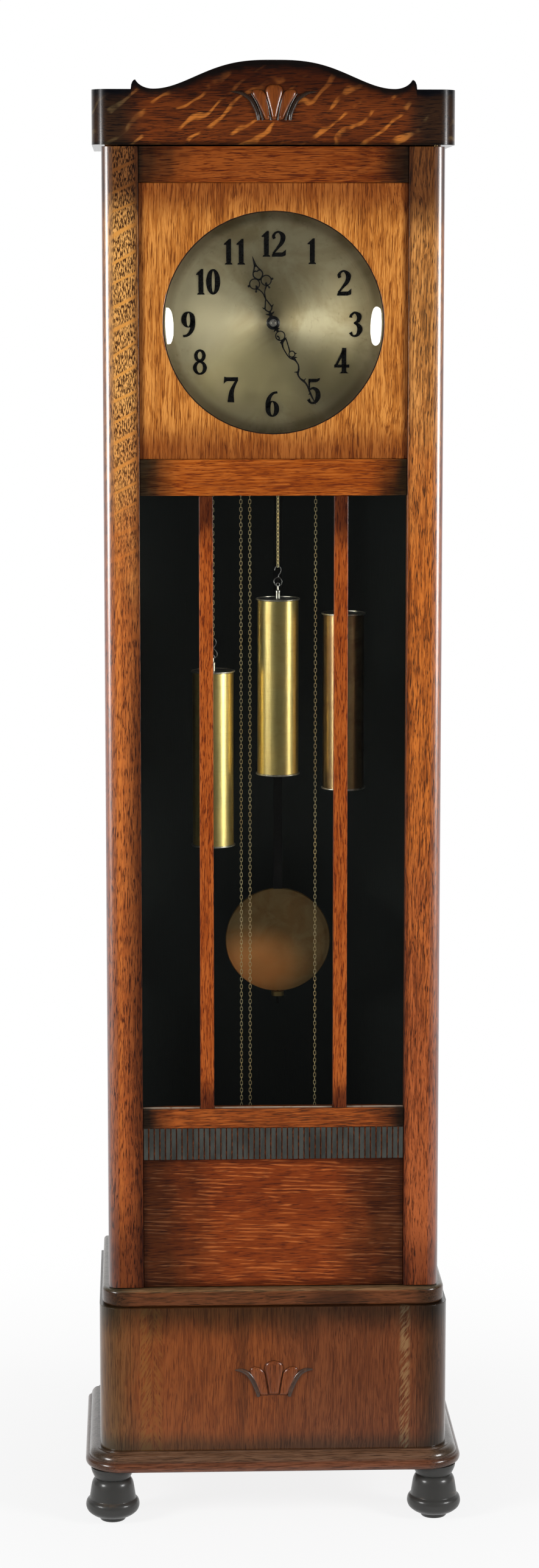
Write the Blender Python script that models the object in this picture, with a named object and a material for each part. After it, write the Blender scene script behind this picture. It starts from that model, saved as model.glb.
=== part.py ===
"""Longcase clock with a glazed door and a three-weight chain movement, at its real size.

Metres, +Z up. The clock faces -Y and stands on the plane Z = 0, with the origin under the
middle of its bounding box. Each piece is modelled where it stands and then hung on an empty,
which lies on the joint's axis where the piece moves.
"""
import math

import bmesh
import bpy
from mathutils import Matrix, Vector

# Clearances
FIT_GAP = 0.0003
DOOR_GAP = 0.0015
MERGE_DISTANCE = 0.000001
SMOOTH_ANGLE = 30.0
FACE_STEP = 0.0004

# Overall case
CASE_WIDTH = 0.450
CASE_DEPTH = 0.280
BASE_OVERHANG = 0.0335
PLINTH_OVERHANG = 0.013
CAP_OVERHANG = 0.009
HOOD_OVERHANG = 0.0125

# Heights of the storeys, from the floor up
FOOT_HEIGHT = 0.076
BASE_HEIGHT = 0.025
PLINTH_HEIGHT = 0.202
CAP_HEIGHT = 0.024
TRUNK_HEIGHT = 1.539
HOOD_HEIGHT = 0.0712
CREST_RISE = 0.0375

# Board thicknesses
SIDE_THICKNESS = 0.018
SIDE_INSET = 0.004
BACK_THICKNESS = 0.008
PLINTH_THICKNESS = 0.018
HOOD_SIDE_THICKNESS = 0.0318
HOOD_TOP_THICKNESS = 0.012
HOOD_TOP_DROP = 0.002
CREST_THICKNESS = 0.020

# Turned feet
FOOT_RADIUS = 0.037
FOOT_PAD_RADIUS = 0.018
FOOT_PAD_HEIGHT = 0.0055
FOOT_BULGE_CENTRE = 0.0215
FOOT_SHANK_RADIUS = 0.0305
FOOT_SHANK_SWELL = 0.001
FOOT_NECK_RADIUS = 0.0235
FOOT_NECK_RISE = 0.006
FOOT_COLLAR_RADIUS = 0.030
FOOT_COLLAR_HEIGHT = 0.015
FOOT_COLLAR_DRAW = 0.001
FOOT_FULLNESS = 0.6
FOOT_SEGMENTS = 20

# Base moulding
BASE_BEAD_HEIGHT = 0.0125
BASE_BEAD_ROUND = 0.003
BASE_FILLET = 0.004
BASE_COVE_MARGIN = 0.005
BASE_STEPS = 4

# Rounded corners
BASE_CORNER = 0.052
PLINTH_CORNER = 0.032
CAP_CORNER = 0.031
CAP_EDGE = 0.005
CAP_EDGE_STEPS = 2
HOOD_CORNER = 0.023
CORNER_STEPS = 7
PLINTH_SEAM_INSET = 0.042

# Crest outline
CREST_VALLEY_X = 0.157
CREST_VALLEY_RISE = 0.0005
CREST_FULLNESS = 1.42
CREST_ARCH_STEPS = 28
HORN_TIP_X = 0.1803
HORN_OUTER_X = 0.1862
HORN_HEIGHT = 0.0122
HORN_LEAN = 0.0010
HORN_SHOULDER = 0.0072
HORN_SWEEP = 70.0
HORN_STEPS = 5

# Door
DOOR_THICKNESS = 0.024
DOOR_BACK_GAP = 0.001
STILE_WIDTH = 0.0475
EDGE_STEPS = 10
RAIL_RECESS = 0.0015
PANEL_RECESS = 0.004
PANEL_THICKNESS = 0.010
TOP_RAIL_HEIGHT = 0.0465
DIAL_PANEL_HEIGHT = 0.361
MIDDLE_RAIL_HEIGHT = 0.048
LOWER_RAIL_HEIGHT = 0.0265
REEDED_HEIGHT = 0.0435
LOWER_PANEL_HEIGHT = 0.179
REED_COUNT = 47
REED_DEPTH = 0.003
REED_RECESS = 0.001
REEDED_THICKNESS = 0.014
BAR_WIDTH = 0.0185
BAR_OFFSET = 0.0898
BAR_THICKNESS = 0.016
PANE_SETBACK = 0.008
PANE_THICKNESS = 0.003
PIVOT_PIN_RADIUS = 0.003
PIVOT_PIN_DEPTH = 0.012
PIN_SEGMENTS = 16

# Dial, its glass and the hands
DIAL_DROP = 0.0018
DIAL_OPENING_RADIUS = 0.146
DIAL_GLASS_RISE = 0.022
DIAL_GLASS_THICKNESS = 0.0025
DIAL_GLASS_SETBACK = 0.003
DIAL_GLASS_STEPS = 6
DIAL_RADIUS = 0.150
DIAL_THICKNESS = 0.0015
DIAL_SETBACK = 0.0055
DIAL_FOOT_LENGTH = 0.022
DIAL_FOOT_RADIUS = 0.003
DIAL_FOOT_SPREAD = 0.072
DIAL_SEGMENTS = 48
HAND_BOSS_RADIUS = 0.0085
HAND_BOSS_THICKNESS = 0.0025
HAND_THICKNESS = 0.0012
MINUTE_HAND_LENGTH = 0.121
MINUTE_HAND_ANGLE = 152.2
MINUTE_HAND_LIFT = 0.0105
MINUTE_WAVE = 0.0032
MINUTE_WAVE_LENGTH = 0.046
MINUTE_HALF_WIDTH = 0.0017
HOUR_HAND_LENGTH = 0.091
HOUR_HAND_ANGLE = 342.5
HOUR_HAND_LIFT = 0.0060
HOUR_HALF_WIDTH = 0.0016
HOUR_LEAF_START = 0.062
HOUR_LEAF_HALF_WIDTH = 0.0058
HOUR_LEAF_FULLNESS = 0.6
HOUR_LOOP_RADIUS = 0.0056
HOUR_LOOP_WIRE = 0.0016
HOUR_LOOP_HEIGHT = 0.053
HOUR_LOOP_OFFSET = 0.0068
HAND_LOOP_STEP = 0.00012
HAND_TAPER = 0.65
HAND_STEPS = 22
CENTRE_ARBOR_RADIUS = 0.003
HOUR_PIPE_RADIUS = 0.005
HAND_NUT_RADIUS = 0.0042
HAND_NUT_LENGTH = 0.0025

# Movement
MOVEMENT_X = 0.008
PLATE_HALF_WIDTH = 0.108
PLATE_HEIGHT = 0.205
PLATE_DROP = 0.1155
PLATE_THICKNESS = 0.003
PLATE_SPACING = 0.066
PILLAR_RADIUS = 0.005
PILLAR_INSET = 0.008
SEAT_THICKNESS = 0.020
SEAT_MARGIN = 0.015
SEAT_SLOT_HALF_DEPTH = 0.008
SEAT_SLOT_MARGIN = 0.012
ARBOR_RADIUS = 0.002
ROUND_SEGMENTS = 24

# Chains, sprockets and weights, from left to right
TRAINS = ("left", "centre", "right")
LEFT_LOAD_X = -0.079
CENTRE_LOAD_X = 0.009
RIGHT_LOAD_X = 0.098
LEFT_LOAD_DROP = 0.374
CENTRE_LOAD_DROP = 0.276
RIGHT_LOAD_DROP = 0.296
FREE_SIDE = {"left": 1.0, "centre": -1.0, "right": -1.0}
CHAIN_RADIUS = 0.0022
CHAIN_WRAP_STEPS = 14
CHAIN_BEVEL_STEPS = 2
SPROCKET_RISE = 0.065
SPROCKET_PITCH_RADIUS = 0.019
SPROCKET_FLANGE = 0.0024
SPROCKET_ARBOR_RADIUS = 0.004
RING_FLOOR_HEIGHT = 0.178
RING_RADIUS = 0.0036
RING_WIRE = 0.0012
WEIGHT_RADIUS = 0.030
WEIGHT_LENGTH = 0.241
WEIGHT_EDGE = 0.0025
WEIGHT_NUT_RADIUS = 0.0055
WEIGHT_NUT_LENGTH = 0.015
WEIGHT_ROD_RADIUS = 0.0016
WEIGHT_ROD_LENGTH = 0.011
EYE_RADIUS = 0.0085
EYE_WIRE = 0.0013
WIRE_SEGMENTS = 8

# Pendulum and escapement
PENDULUM_X = 0.012
PENDULUM_SETBACK = 0.042
PENDULUM_PIVOT_DROP = 0.025
PENDULUM_LENGTH = 0.9205
SPRING_ABOVE_PIVOT = 0.0117
SPRING_LENGTH = 0.040
SPRING_WIDTH = 0.008
SPRING_THICKNESS = 0.0004
ROD_WIDTH = 0.012
ROD_THICKNESS = 0.006
ROD_PIN_RADIUS = 0.002
ROD_PIN_LENGTH = 0.022
BOB_RADIUS = 0.073
BOB_THICKNESS = 0.024
BOB_EDGE = 0.004
BOB_STEPS = 5
BOB_SEGMENTS = 36
BOB_SLOT_END = 0.004
NUT_RADIUS = 0.009
NUT_HEIGHT = 0.006
COCK_WIDTH = 0.012
COCK_HEIGHT = 0.012
COCK_REACH = 0.010
ESCAPE_DROP = 0.036
ESCAPE_RADIUS = 0.022
ESCAPE_TOOTH = 0.004
ESCAPE_TEETH = 30
ESCAPE_THICKNESS = 0.002
ESCAPE_SETBACK = 0.012
ANCHOR_THICKNESS = 0.004
ANCHOR_HUB_RADIUS = 0.005
ANCHOR_REACH = 0.022
ANCHOR_NIB_CLEARANCE = 0.0028
ANCHOR_NIB_ANGLE = 48.0
ANCHOR_NIB_SPREAD = 0.001
CRUTCH_LENGTH = 0.085
CRUTCH_SETBACK = 0.010
CRUTCH_WIDTH = 0.004
CRUTCH_FORK_GAP = 0.0005

# Carved palmettes
CARVING_RELIEF = 0.0045
CREST_CARVING_DROP = 0.0402
CREST_CARVING_REACH = 0.035
CREST_CARVING_HEIGHT = 0.0445
PLINTH_CARVING_RISE = 0.074
PLINTH_CARVING_REACH = 0.0545
PLINTH_CARVING_HEIGHT = 0.053

# Places worked out from the driving dimensions
TOTAL_DEPTH = CASE_DEPTH + BASE_OVERHANG
BACK_Y = TOTAL_DEPTH / 2
DOOR_FRONT_Y = BACK_Y - CASE_DEPTH
DOOR_BACK_Y = DOOR_FRONT_Y + DOOR_THICKNESS
BOARD_BACK_Y = BACK_Y - BACK_THICKNESS - FIT_GAP
CASE_HALF = CASE_WIDTH / 2
BASE_HALF = CASE_HALF + BASE_OVERHANG
PLINTH_HALF = CASE_HALF + PLINTH_OVERHANG
PLINTH_FRONT_Y = DOOR_FRONT_Y - PLINTH_OVERHANG
CAP_HALF = CASE_HALF + CAP_OVERHANG
HOOD_HALF = CASE_HALF + HOOD_OVERHANG
HOOD_FRONT_Y = DOOR_FRONT_Y - HOOD_OVERHANG
HOOD_INNER_X = HOOD_HALF - HOOD_SIDE_THICKNESS
SIDE_OUTER_X = CASE_HALF - SIDE_INSET
SIDE_INNER_X = SIDE_OUTER_X - SIDE_THICKNESS
STILE_INNER_X = CASE_HALF - STILE_WIDTH
PLINTH_SEAM_X = PLINTH_HALF - PLINTH_SEAM_INSET

BASE_TOP_Z = FOOT_HEIGHT + BASE_HEIGHT
PLINTH_TOP_Z = BASE_TOP_Z + PLINTH_HEIGHT
CAP_TOP_Z = PLINTH_TOP_Z + CAP_HEIGHT
TRUNK_TOP_Z = CAP_TOP_Z + TRUNK_HEIGHT
HOOD_TOP_Z = TRUNK_TOP_Z + HOOD_HEIGHT
CREST_TOP_Z = HOOD_TOP_Z + CREST_RISE

DOOR_BOTTOM_Z = CAP_TOP_Z + DOOR_GAP
DOOR_TOP_Z = TRUNK_TOP_Z - DOOR_GAP
TOP_RAIL_Z = DOOR_TOP_Z - TOP_RAIL_HEIGHT
DIAL_PANEL_Z = TOP_RAIL_Z - DIAL_PANEL_HEIGHT
GLASS_TOP_Z = DIAL_PANEL_Z - MIDDLE_RAIL_HEIGHT
LOWER_PANEL_TOP_Z = DOOR_BOTTOM_Z + LOWER_PANEL_HEIGHT
REEDED_TOP_Z = LOWER_PANEL_TOP_Z + REEDED_HEIGHT
GLASS_BOTTOM_Z = REEDED_TOP_Z + LOWER_RAIL_HEIGHT
PIVOT_X = CASE_HALF - DOOR_THICKNESS / 2
PIVOT_Y = DOOR_FRONT_Y + DOOR_THICKNESS / 2

DIAL_Z = TOP_RAIL_Z - DIAL_PANEL_HEIGHT / 2 - DIAL_DROP
DIAL_FRONT_Y = DOOR_BACK_Y + DIAL_SETBACK
DIAL_BACK_Y = DIAL_FRONT_Y + DIAL_THICKNESS
FRONT_PLATE_Y = DIAL_BACK_Y + DIAL_FOOT_LENGTH + FIT_GAP
PLATES_FRONT_Y = FRONT_PLATE_Y + PLATE_THICKNESS
PLATES_BACK_Y = PLATES_FRONT_Y + PLATE_SPACING
BACK_PLATE_END_Y = PLATES_BACK_Y + PLATE_THICKNESS
SEAT_TOP_Z = DIAL_Z - PLATE_DROP
PLATE_BOTTOM_Z = SEAT_TOP_Z + FIT_GAP
PLATE_TOP_Z = PLATE_BOTTOM_Z + PLATE_HEIGHT
LOAD_X = {"left": LEFT_LOAD_X, "centre": CENTRE_LOAD_X, "right": RIGHT_LOAD_X}
LOAD_DROP = {"left": LEFT_LOAD_DROP, "centre": CENTRE_LOAD_DROP, "right": RIGHT_LOAD_DROP}
CHAIN_Y = (PLATES_FRONT_Y + PLATES_BACK_Y) / 2
SPROCKET_Z = PLATE_BOTTOM_Z + SPROCKET_RISE
RING_Z = CAP_TOP_Z + RING_FLOOR_HEIGHT
PENDULUM_Y = BACK_PLATE_END_Y + PENDULUM_SETBACK
PENDULUM_PIVOT_Z = PLATE_TOP_Z - PENDULUM_PIVOT_DROP
BOB_Z = PENDULUM_PIVOT_Z - PENDULUM_LENGTH
SPRING_TOP_Z = PENDULUM_PIVOT_Z + SPRING_ABOVE_PIVOT
ESCAPE_Z = PENDULUM_PIVOT_Z - ESCAPE_DROP
ESCAPE_Y = PLATES_BACK_Y - ESCAPE_SETBACK


# Modelling helpers


def finish(name, colour, roughness, metallic=0.0):
    """One material: a Principled BSDF with a plain colour, roughness and metallic value."""
    made = bpy.data.materials.new(name)
    made.use_nodes = True
    shader = made.node_tree.nodes["Principled BSDF"]
    shader.inputs["Base Color"].default_value = (*colour, 1.0)
    shader.inputs["Roughness"].default_value = roughness
    shader.inputs["Metallic"].default_value = metallic
    return made


def pivot_empty(name, place):
    """An empty that carries a group of pieces; it lies on the group's joint axis."""
    empty = bpy.data.objects.new(name, None)
    empty.location = place
    bpy.context.scene.collection.objects.link(empty)
    return empty


def solid(name, bm, material, carrier):
    """Closes a bmesh into a named object whose origin is its carrier's place."""
    bmesh.ops.remove_doubles(bm, verts=bm.verts, dist=MERGE_DISTANCE)
    bmesh.ops.recalc_face_normals(bm, faces=bm.faces)
    mesh = bpy.data.meshes.new(name)
    bm.to_mesh(mesh)
    bm.free()
    mesh.transform(Matrix.Translation(-carrier.location))
    mesh.materials.append(material)
    mesh.shade_smooth()
    mesh.set_sharp_from_angle(angle=math.radians(SMOOTH_ANGLE))
    item = bpy.data.objects.new(name, mesh)
    item.parent = carrier
    bpy.context.scene.collection.objects.link(item)
    return item


def combine(item, tool, operation):
    """Cuts a tool out of an item or fuses it to the item, and keeps the tool as a guide only."""
    step = item.modifiers.new(tool.name, "BOOLEAN")
    step.operation = operation
    step.solver = "EXACT"
    step.object = tool
    tool.hide_render = True
    tool.display_type = "WIRE"


def block(low, high):
    """A rectangular board between two corners."""
    bm = bmesh.new()
    bmesh.ops.create_cube(bm, size=1.0)
    size = Vector(high) - Vector(low)
    bmesh.ops.scale(bm, vec=size, verts=bm.verts)
    bmesh.ops.translate(bm, vec=(Vector(high) + Vector(low)) / 2, verts=bm.verts)
    return bm


def prism(outline, low, high, along):
    """An outline extruded along "Z", with (x, y) points, or along "Y", with (x, z) points."""
    bm = bmesh.new()
    if along == "Z":
        ring = [bm.verts.new((a, b, low)) for a, b in outline]
        reach = Vector((0.0, 0.0, high - low))
    else:
        ring = [bm.verts.new((a, low, b)) for a, b in outline]
        reach = Vector((0.0, high - low, 0.0))
    face = bm.faces.new(ring)
    grown = bmesh.ops.extrude_face_region(bm, geom=[face])["geom"]
    moved = [part for part in grown if isinstance(part, bmesh.types.BMVert)]
    bmesh.ops.translate(bm, vec=reach, verts=moved)
    return bm


def turned(profile, centre, axis, segments, ring=False):
    """A (radius, height) profile spun about "Z" or "Y" through centre; a ring's profile closes."""
    bm = bmesh.new()
    direction = Vector((0, 0, 1)) if axis == "Z" else Vector((0, 1, 0))
    place = Vector(centre)
    points = [bm.verts.new(place + Vector((r, 0, 0)) + direction * h) for r, h in profile]
    pairs = list(zip(points, points[1:]))
    if ring:
        pairs.append((points[-1], points[0]))
    edges = [bm.edges.new(pair) for pair in pairs]
    bmesh.ops.spin(
        bm, geom=points + edges, cent=place, axis=direction,
        angle=math.tau, steps=segments, use_merge=True,
    )
    return bm


def stacked(outlines):
    """A solid through outlines of equal point counts, given as (z, points) from the bottom up."""
    bm = bmesh.new()
    rings = [[bm.verts.new((x, y, z)) for x, y in points] for z, points in outlines]
    bm.faces.new(rings[0])
    bm.faces.new(rings[-1])
    for lower, upper in zip(rings, rings[1:]):
        for index, point in enumerate(lower):
            before = index - 1
            bm.faces.new((lower[before], point, upper[index], upper[before]))
    return bm


def arc(centre, radius, start, end, steps):
    """Points on a circle from one angle in degrees to another, both ends included."""
    angles = [math.radians(start + (end - start) * k / steps) for k in range(steps + 1)]
    return [(centre[0] + radius * math.cos(a), centre[1] + radius * math.sin(a)) for a in angles]


def mirrored(outline, side):
    """An outline drawn for the right side, or turned over for the left (side is 1 or -1)."""
    return [(side * a, b) for a, b in outline]


def front_rounded(half, front, back, radius):
    """A plan outline with two rounded front corners and a straight back."""
    right = arc((half - radius, front + radius), radius, -90.0, 0.0, CORNER_STEPS)
    left = [(-x, y) for x, y in reversed(right)]
    return [*right, (half, back), (-half, back), *left]


def wall_with_corner(inner, half, front, back, radius, thickness):
    """The plan outline of a right-hand wall that turns round the front corner."""
    corner = arc((half - radius, front + radius), radius, -90.0, 0.0, CORNER_STEPS)
    return [
        (inner, front), *corner, (half, back), (half - thickness, back),
        (half - thickness, front + thickness), (inner, front + thickness),
    ]


def torus(centre, radius, wire, segments):
    """A wire ring that stands upright, facing the front."""
    section = arc((radius, 0.0), wire, 0.0, 360.0, WIRE_SEGMENTS)[:-1]
    return turned(section, centre, "Y", segments, ring=True)


# The case


def build_feet(finishes, carrier):
    """Four turned feet: a pad, a squat bulge, a tapering shank, a neck and a collar."""
    bulge_half = FOOT_BULGE_CENTRE - FOOT_PAD_HEIGHT
    bulge = [
        (
            FOOT_PAD_RADIUS + (FOOT_RADIUS - FOOT_PAD_RADIUS) * math.cos(a) ** FOOT_FULLNESS,
            FOOT_BULGE_CENTRE + bulge_half * math.sin(a),
        )
        for a in (math.radians(d) for d in (-78, -45, -18, 0, 18, 38))
    ]
    neck_z = FOOT_HEIGHT - FOOT_COLLAR_HEIGHT
    top = FOOT_HEIGHT - FIT_GAP
    profile = [
        (0.0, 0.0), (FOOT_PAD_RADIUS, 0.0), (FOOT_PAD_RADIUS, FOOT_PAD_HEIGHT),
        *bulge,
        (FOOT_SHANK_RADIUS, FOOT_BULGE_CENTRE + bulge_half),
        ((FOOT_SHANK_RADIUS + FOOT_NECK_RADIUS) / 2 + FOOT_SHANK_SWELL, neck_z - FOOT_NECK_RISE),
        (FOOT_NECK_RADIUS, neck_z),
        (FOOT_COLLAR_RADIUS - FOOT_COLLAR_DRAW, neck_z + FOOT_COLLAR_HEIGHT / 2),
        (FOOT_COLLAR_RADIUS, top), (0.0, top),
    ]
    x, y = BASE_HALF - FOOT_RADIUS, TOTAL_DEPTH / 2 - FOOT_RADIUS
    for end, depth in (("front", -y), ("back", y)):
        for side, across in (("left", -x), ("right", x)):
            bm = turned(profile, (across, depth, 0.0), "Z", FOOT_SEGMENTS)
            solid(f"foot_{end}_{side}", bm, finishes["ebony"], carrier)


def build_base(finishes, carrier):
    """The moulded base board: a bead below a hollow that runs up to the plinth."""
    cove_inset = BASE_OVERHANG - PLINTH_OVERHANG - BASE_COVE_MARGIN
    cove_height = BASE_HEIGHT - BASE_BEAD_HEIGHT
    steps = []
    for k in range(BASE_STEPS + 1):
        across = 2.0 * k / BASE_STEPS - 1.0
        steps.append((BASE_BEAD_HEIGHT * k / BASE_STEPS, BASE_BEAD_ROUND * across**2))
    for k in range(BASE_STEPS + 1):
        turn = math.radians(90.0 * k / BASE_STEPS)
        rise = FACE_STEP + (cove_height - FACE_STEP) * (1.0 - math.cos(turn))
        inset = BASE_FILLET + (cove_inset - BASE_FILLET) * math.sin(turn)
        steps.append((BASE_BEAD_HEIGHT + rise, inset))
    outlines = [
        (
            FOOT_HEIGHT + z,
            front_rounded(BASE_HALF - inset, -BACK_Y + inset, BACK_Y, BASE_CORNER - inset),
        )
        for z, inset in steps
    ]
    solid("base_board", stacked(outlines), finishes["oak"], carrier)


def build_plinth(finishes, carrier):
    """The plinth: a front panel between two sides that turn the rounded corners."""
    low, high = BASE_TOP_Z + FIT_GAP, PLINTH_TOP_Z
    edge = PLINTH_SEAM_X - FIT_GAP
    front = block((-edge, PLINTH_FRONT_Y, low), (edge, PLINTH_FRONT_Y + PLINTH_THICKNESS, high))
    solid("plinth_front", front, finishes["oak_red"], carrier)
    wall = wall_with_corner(
        PLINTH_SEAM_X, PLINTH_HALF, PLINTH_FRONT_Y, BACK_Y, PLINTH_CORNER, PLINTH_THICKNESS
    )
    for name, side in (("left", -1), ("right", 1)):
        bm = prism(mirrored(wall, side), low, high, "Z")
        solid(f"plinth_side_{name}", bm, finishes["oak_red"], carrier)


def build_cap(finishes, carrier):
    """The cap board over the plinth, with eased edges; it is also the trunk's floor."""
    low = PLINTH_TOP_Z + FIT_GAP
    eased = arc((CAP_EDGE, CAP_EDGE), CAP_EDGE, 270.0, 180.0, CAP_EDGE_STEPS)
    steps = [(low + rise, inset) for inset, rise in eased]
    steps += [(CAP_TOP_Z - rise, inset) for inset, rise in reversed(eased)]
    front = DOOR_FRONT_Y - CAP_OVERHANG
    outlines = [
        (z, front_rounded(CAP_HALF - inset, front + inset, BOARD_BACK_Y, CAP_CORNER - inset))
        for z, inset in steps
    ]
    return solid("plinth_cap", stacked(outlines), finishes["oak"], carrier)


def build_trunk(finishes, carrier):
    """The trunk's two sides and the back board that closes plinth, trunk and hood."""
    low = CAP_TOP_Z + FIT_GAP
    for name, side in (("left", -1), ("right", 1)):
        plan = [
            (SIDE_INNER_X, DOOR_BACK_Y + DOOR_BACK_GAP), (SIDE_OUTER_X, DOOR_BACK_Y + DOOR_BACK_GAP),
            (SIDE_OUTER_X, BOARD_BACK_Y), (SIDE_INNER_X, BOARD_BACK_Y),
        ]
        bm = prism(mirrored(plan, side), low, TRUNK_TOP_Z, "Z")
        solid(f"case_side_{name}", bm, finishes["oak"], carrier)
    half = PLINTH_HALF - PLINTH_THICKNESS - FIT_GAP
    back = block(
        (-half, BACK_Y - BACK_THICKNESS, BASE_TOP_Z + FIT_GAP),
        (half, BACK_Y, HOOD_TOP_Z - HOOD_TOP_DROP),
    )
    solid("back_board", back, finishes["oak_dark"], carrier)


def crest_outline():
    """The crest board's front outline: straight shoulders, two horns and a swelling arch."""
    edge = HOOD_INNER_X - FIT_GAP
    valley_z = HOOD_TOP_Z + CREST_VALLEY_RISE
    arch_rise = CREST_TOP_Z - valley_z
    horn_run = HORN_TIP_X - CREST_VALLEY_X
    horn_rise = HOOD_TOP_Z + HORN_HEIGHT - valley_z
    arch = []
    for k in range(CREST_ARCH_STEPS + 1):
        x = CREST_VALLEY_X * (1.0 - 2.0 * k / CREST_ARCH_STEPS)
        turn = math.pi * (abs(x) / CREST_VALLEY_X) ** CREST_FULLNESS
        arch.append((x, valley_z + arch_rise * (0.5 + 0.5 * math.cos(turn))))
    horn = []
    sweep = math.radians(HORN_SWEEP)
    for k in range(HORN_STEPS, 0, -1):
        turn = sweep * k / HORN_STEPS
        share = math.sin(turn) / math.sin(sweep)
        lift = (1.0 - math.cos(turn)) / (1.0 - math.cos(sweep))
        horn.append((CREST_VALLEY_X + horn_run * share, valley_z + horn_rise * lift))
    shoulder = [
        (edge, HOOD_TOP_Z), (HORN_OUTER_X, HOOD_TOP_Z),
        (HORN_OUTER_X - HORN_LEAN, HOOD_TOP_Z + HORN_SHOULDER),
    ]
    right = [(edge, TRUNK_TOP_Z + FIT_GAP), *shoulder, *horn]
    left = [(-x, z) for x, z in reversed(right)]
    return [*right, *arch, *left]


def build_hood(finishes, carrier):
    """The hood: crest board, two thick sides with rounded front corners, and the top board."""
    crest = prism(crest_outline(), HOOD_FRONT_Y, HOOD_FRONT_Y + CREST_THICKNESS, "Y")
    solid("hood_crest", crest, finishes["oak"], carrier)
    corner = arc(
        (HOOD_HALF - HOOD_CORNER, HOOD_FRONT_Y + HOOD_CORNER), HOOD_CORNER, -90.0, 0.0, CORNER_STEPS
    )
    plan = [(HOOD_INNER_X, HOOD_FRONT_Y), *corner, (HOOD_HALF, BOARD_BACK_Y), (HOOD_INNER_X, BOARD_BACK_Y)]
    sides = {}
    for name, side in (("left", -1), ("right", 1)):
        bm = prism(mirrored(plan, side), TRUNK_TOP_Z + FIT_GAP, HOOD_TOP_Z, "Z")
        sides[name] = solid(f"hood_side_{name}", bm, finishes["oak"], carrier)
    edge = HOOD_INNER_X - FIT_GAP
    top = HOOD_TOP_Z - HOOD_TOP_DROP
    board = block(
        (-edge, HOOD_FRONT_Y + CREST_THICKNESS + FIT_GAP, top - HOOD_TOP_THICKNESS),
        (edge, BOARD_BACK_Y, top),
    )
    solid("hood_top", board, finishes["oak_dark"], carrier)
    return sides


def palmette(reach, height, centre_x, bottom_z):
    """Half a palmette mirrored: a tall middle petal, a side petal and an outward-curling wing."""
    half = [
        (0.0, 1.0), (0.13, 0.95), (0.20, 0.82), (0.25, 0.70), (0.34, 0.83), (0.46, 0.80),
        (0.52, 0.70), (0.70, 0.78), (0.92, 0.83), (1.0, 0.74), (0.86, 0.70), (0.66, 0.55),
        (0.48, 0.28), (0.40, 0.0),
    ]
    right = [(centre_x + reach * a, bottom_z + height * b) for a, b in half]
    left = [(2.0 * centre_x - x, z) for x, z in reversed(right[1:])]
    return [*right, *left]


def build_carvings(finishes, carrier):
    """The carved palmettes on the crest board and on the plinth's front."""
    crest = palmette(CREST_CARVING_REACH, CREST_CARVING_HEIGHT, 0.0, HOOD_TOP_Z - CREST_CARVING_DROP)
    bm = prism(crest, HOOD_FRONT_Y - CARVING_RELIEF, HOOD_FRONT_Y - FIT_GAP, "Y")
    solid("crest_carving", bm, finishes["oak"], carrier)
    plinth = palmette(
        PLINTH_CARVING_REACH, PLINTH_CARVING_HEIGHT, 0.0, BASE_TOP_Z + PLINTH_CARVING_RISE
    )
    bm = prism(plinth, PLINTH_FRONT_Y - CARVING_RELIEF, PLINTH_FRONT_Y - FIT_GAP, "Y")
    solid("plinth_carving", bm, finishes["oak_red"], carrier)


# The door


def build_door_frame(finishes, carrier):
    """Two stiles with half-round outer edges and three rails between them."""
    middle = (CASE_HALF - DOOR_THICKNESS / 2, DOOR_FRONT_Y + DOOR_THICKNESS / 2)
    nose = arc(middle, DOOR_THICKNESS / 2, -90.0, 90.0, EDGE_STEPS)
    plan = [(STILE_INNER_X, DOOR_FRONT_Y), *nose, (STILE_INNER_X, DOOR_BACK_Y)]
    stiles = {}
    for name, side in (("left", -1), ("right", 1)):
        bm = prism(mirrored(plan, side), DOOR_BOTTOM_Z, DOOR_TOP_Z, "Z")
        stiles[name] = solid(f"door_stile_{name}", bm, finishes["oak"], carrier)
    edge = STILE_INNER_X - FIT_GAP
    rails = {
        "door_top_rail": (TOP_RAIL_Z, DOOR_TOP_Z),
        "door_middle_rail": (GLASS_TOP_Z, DIAL_PANEL_Z),
        "door_lower_rail": (REEDED_TOP_Z, GLASS_BOTTOM_Z),
    }
    for name, (low, high) in rails.items():
        bm = block((-edge, DOOR_FRONT_Y + RAIL_RECESS, low), (edge, DOOR_BACK_Y, high))
        solid(name, bm, finishes["oak"], carrier)
    return stiles


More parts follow.
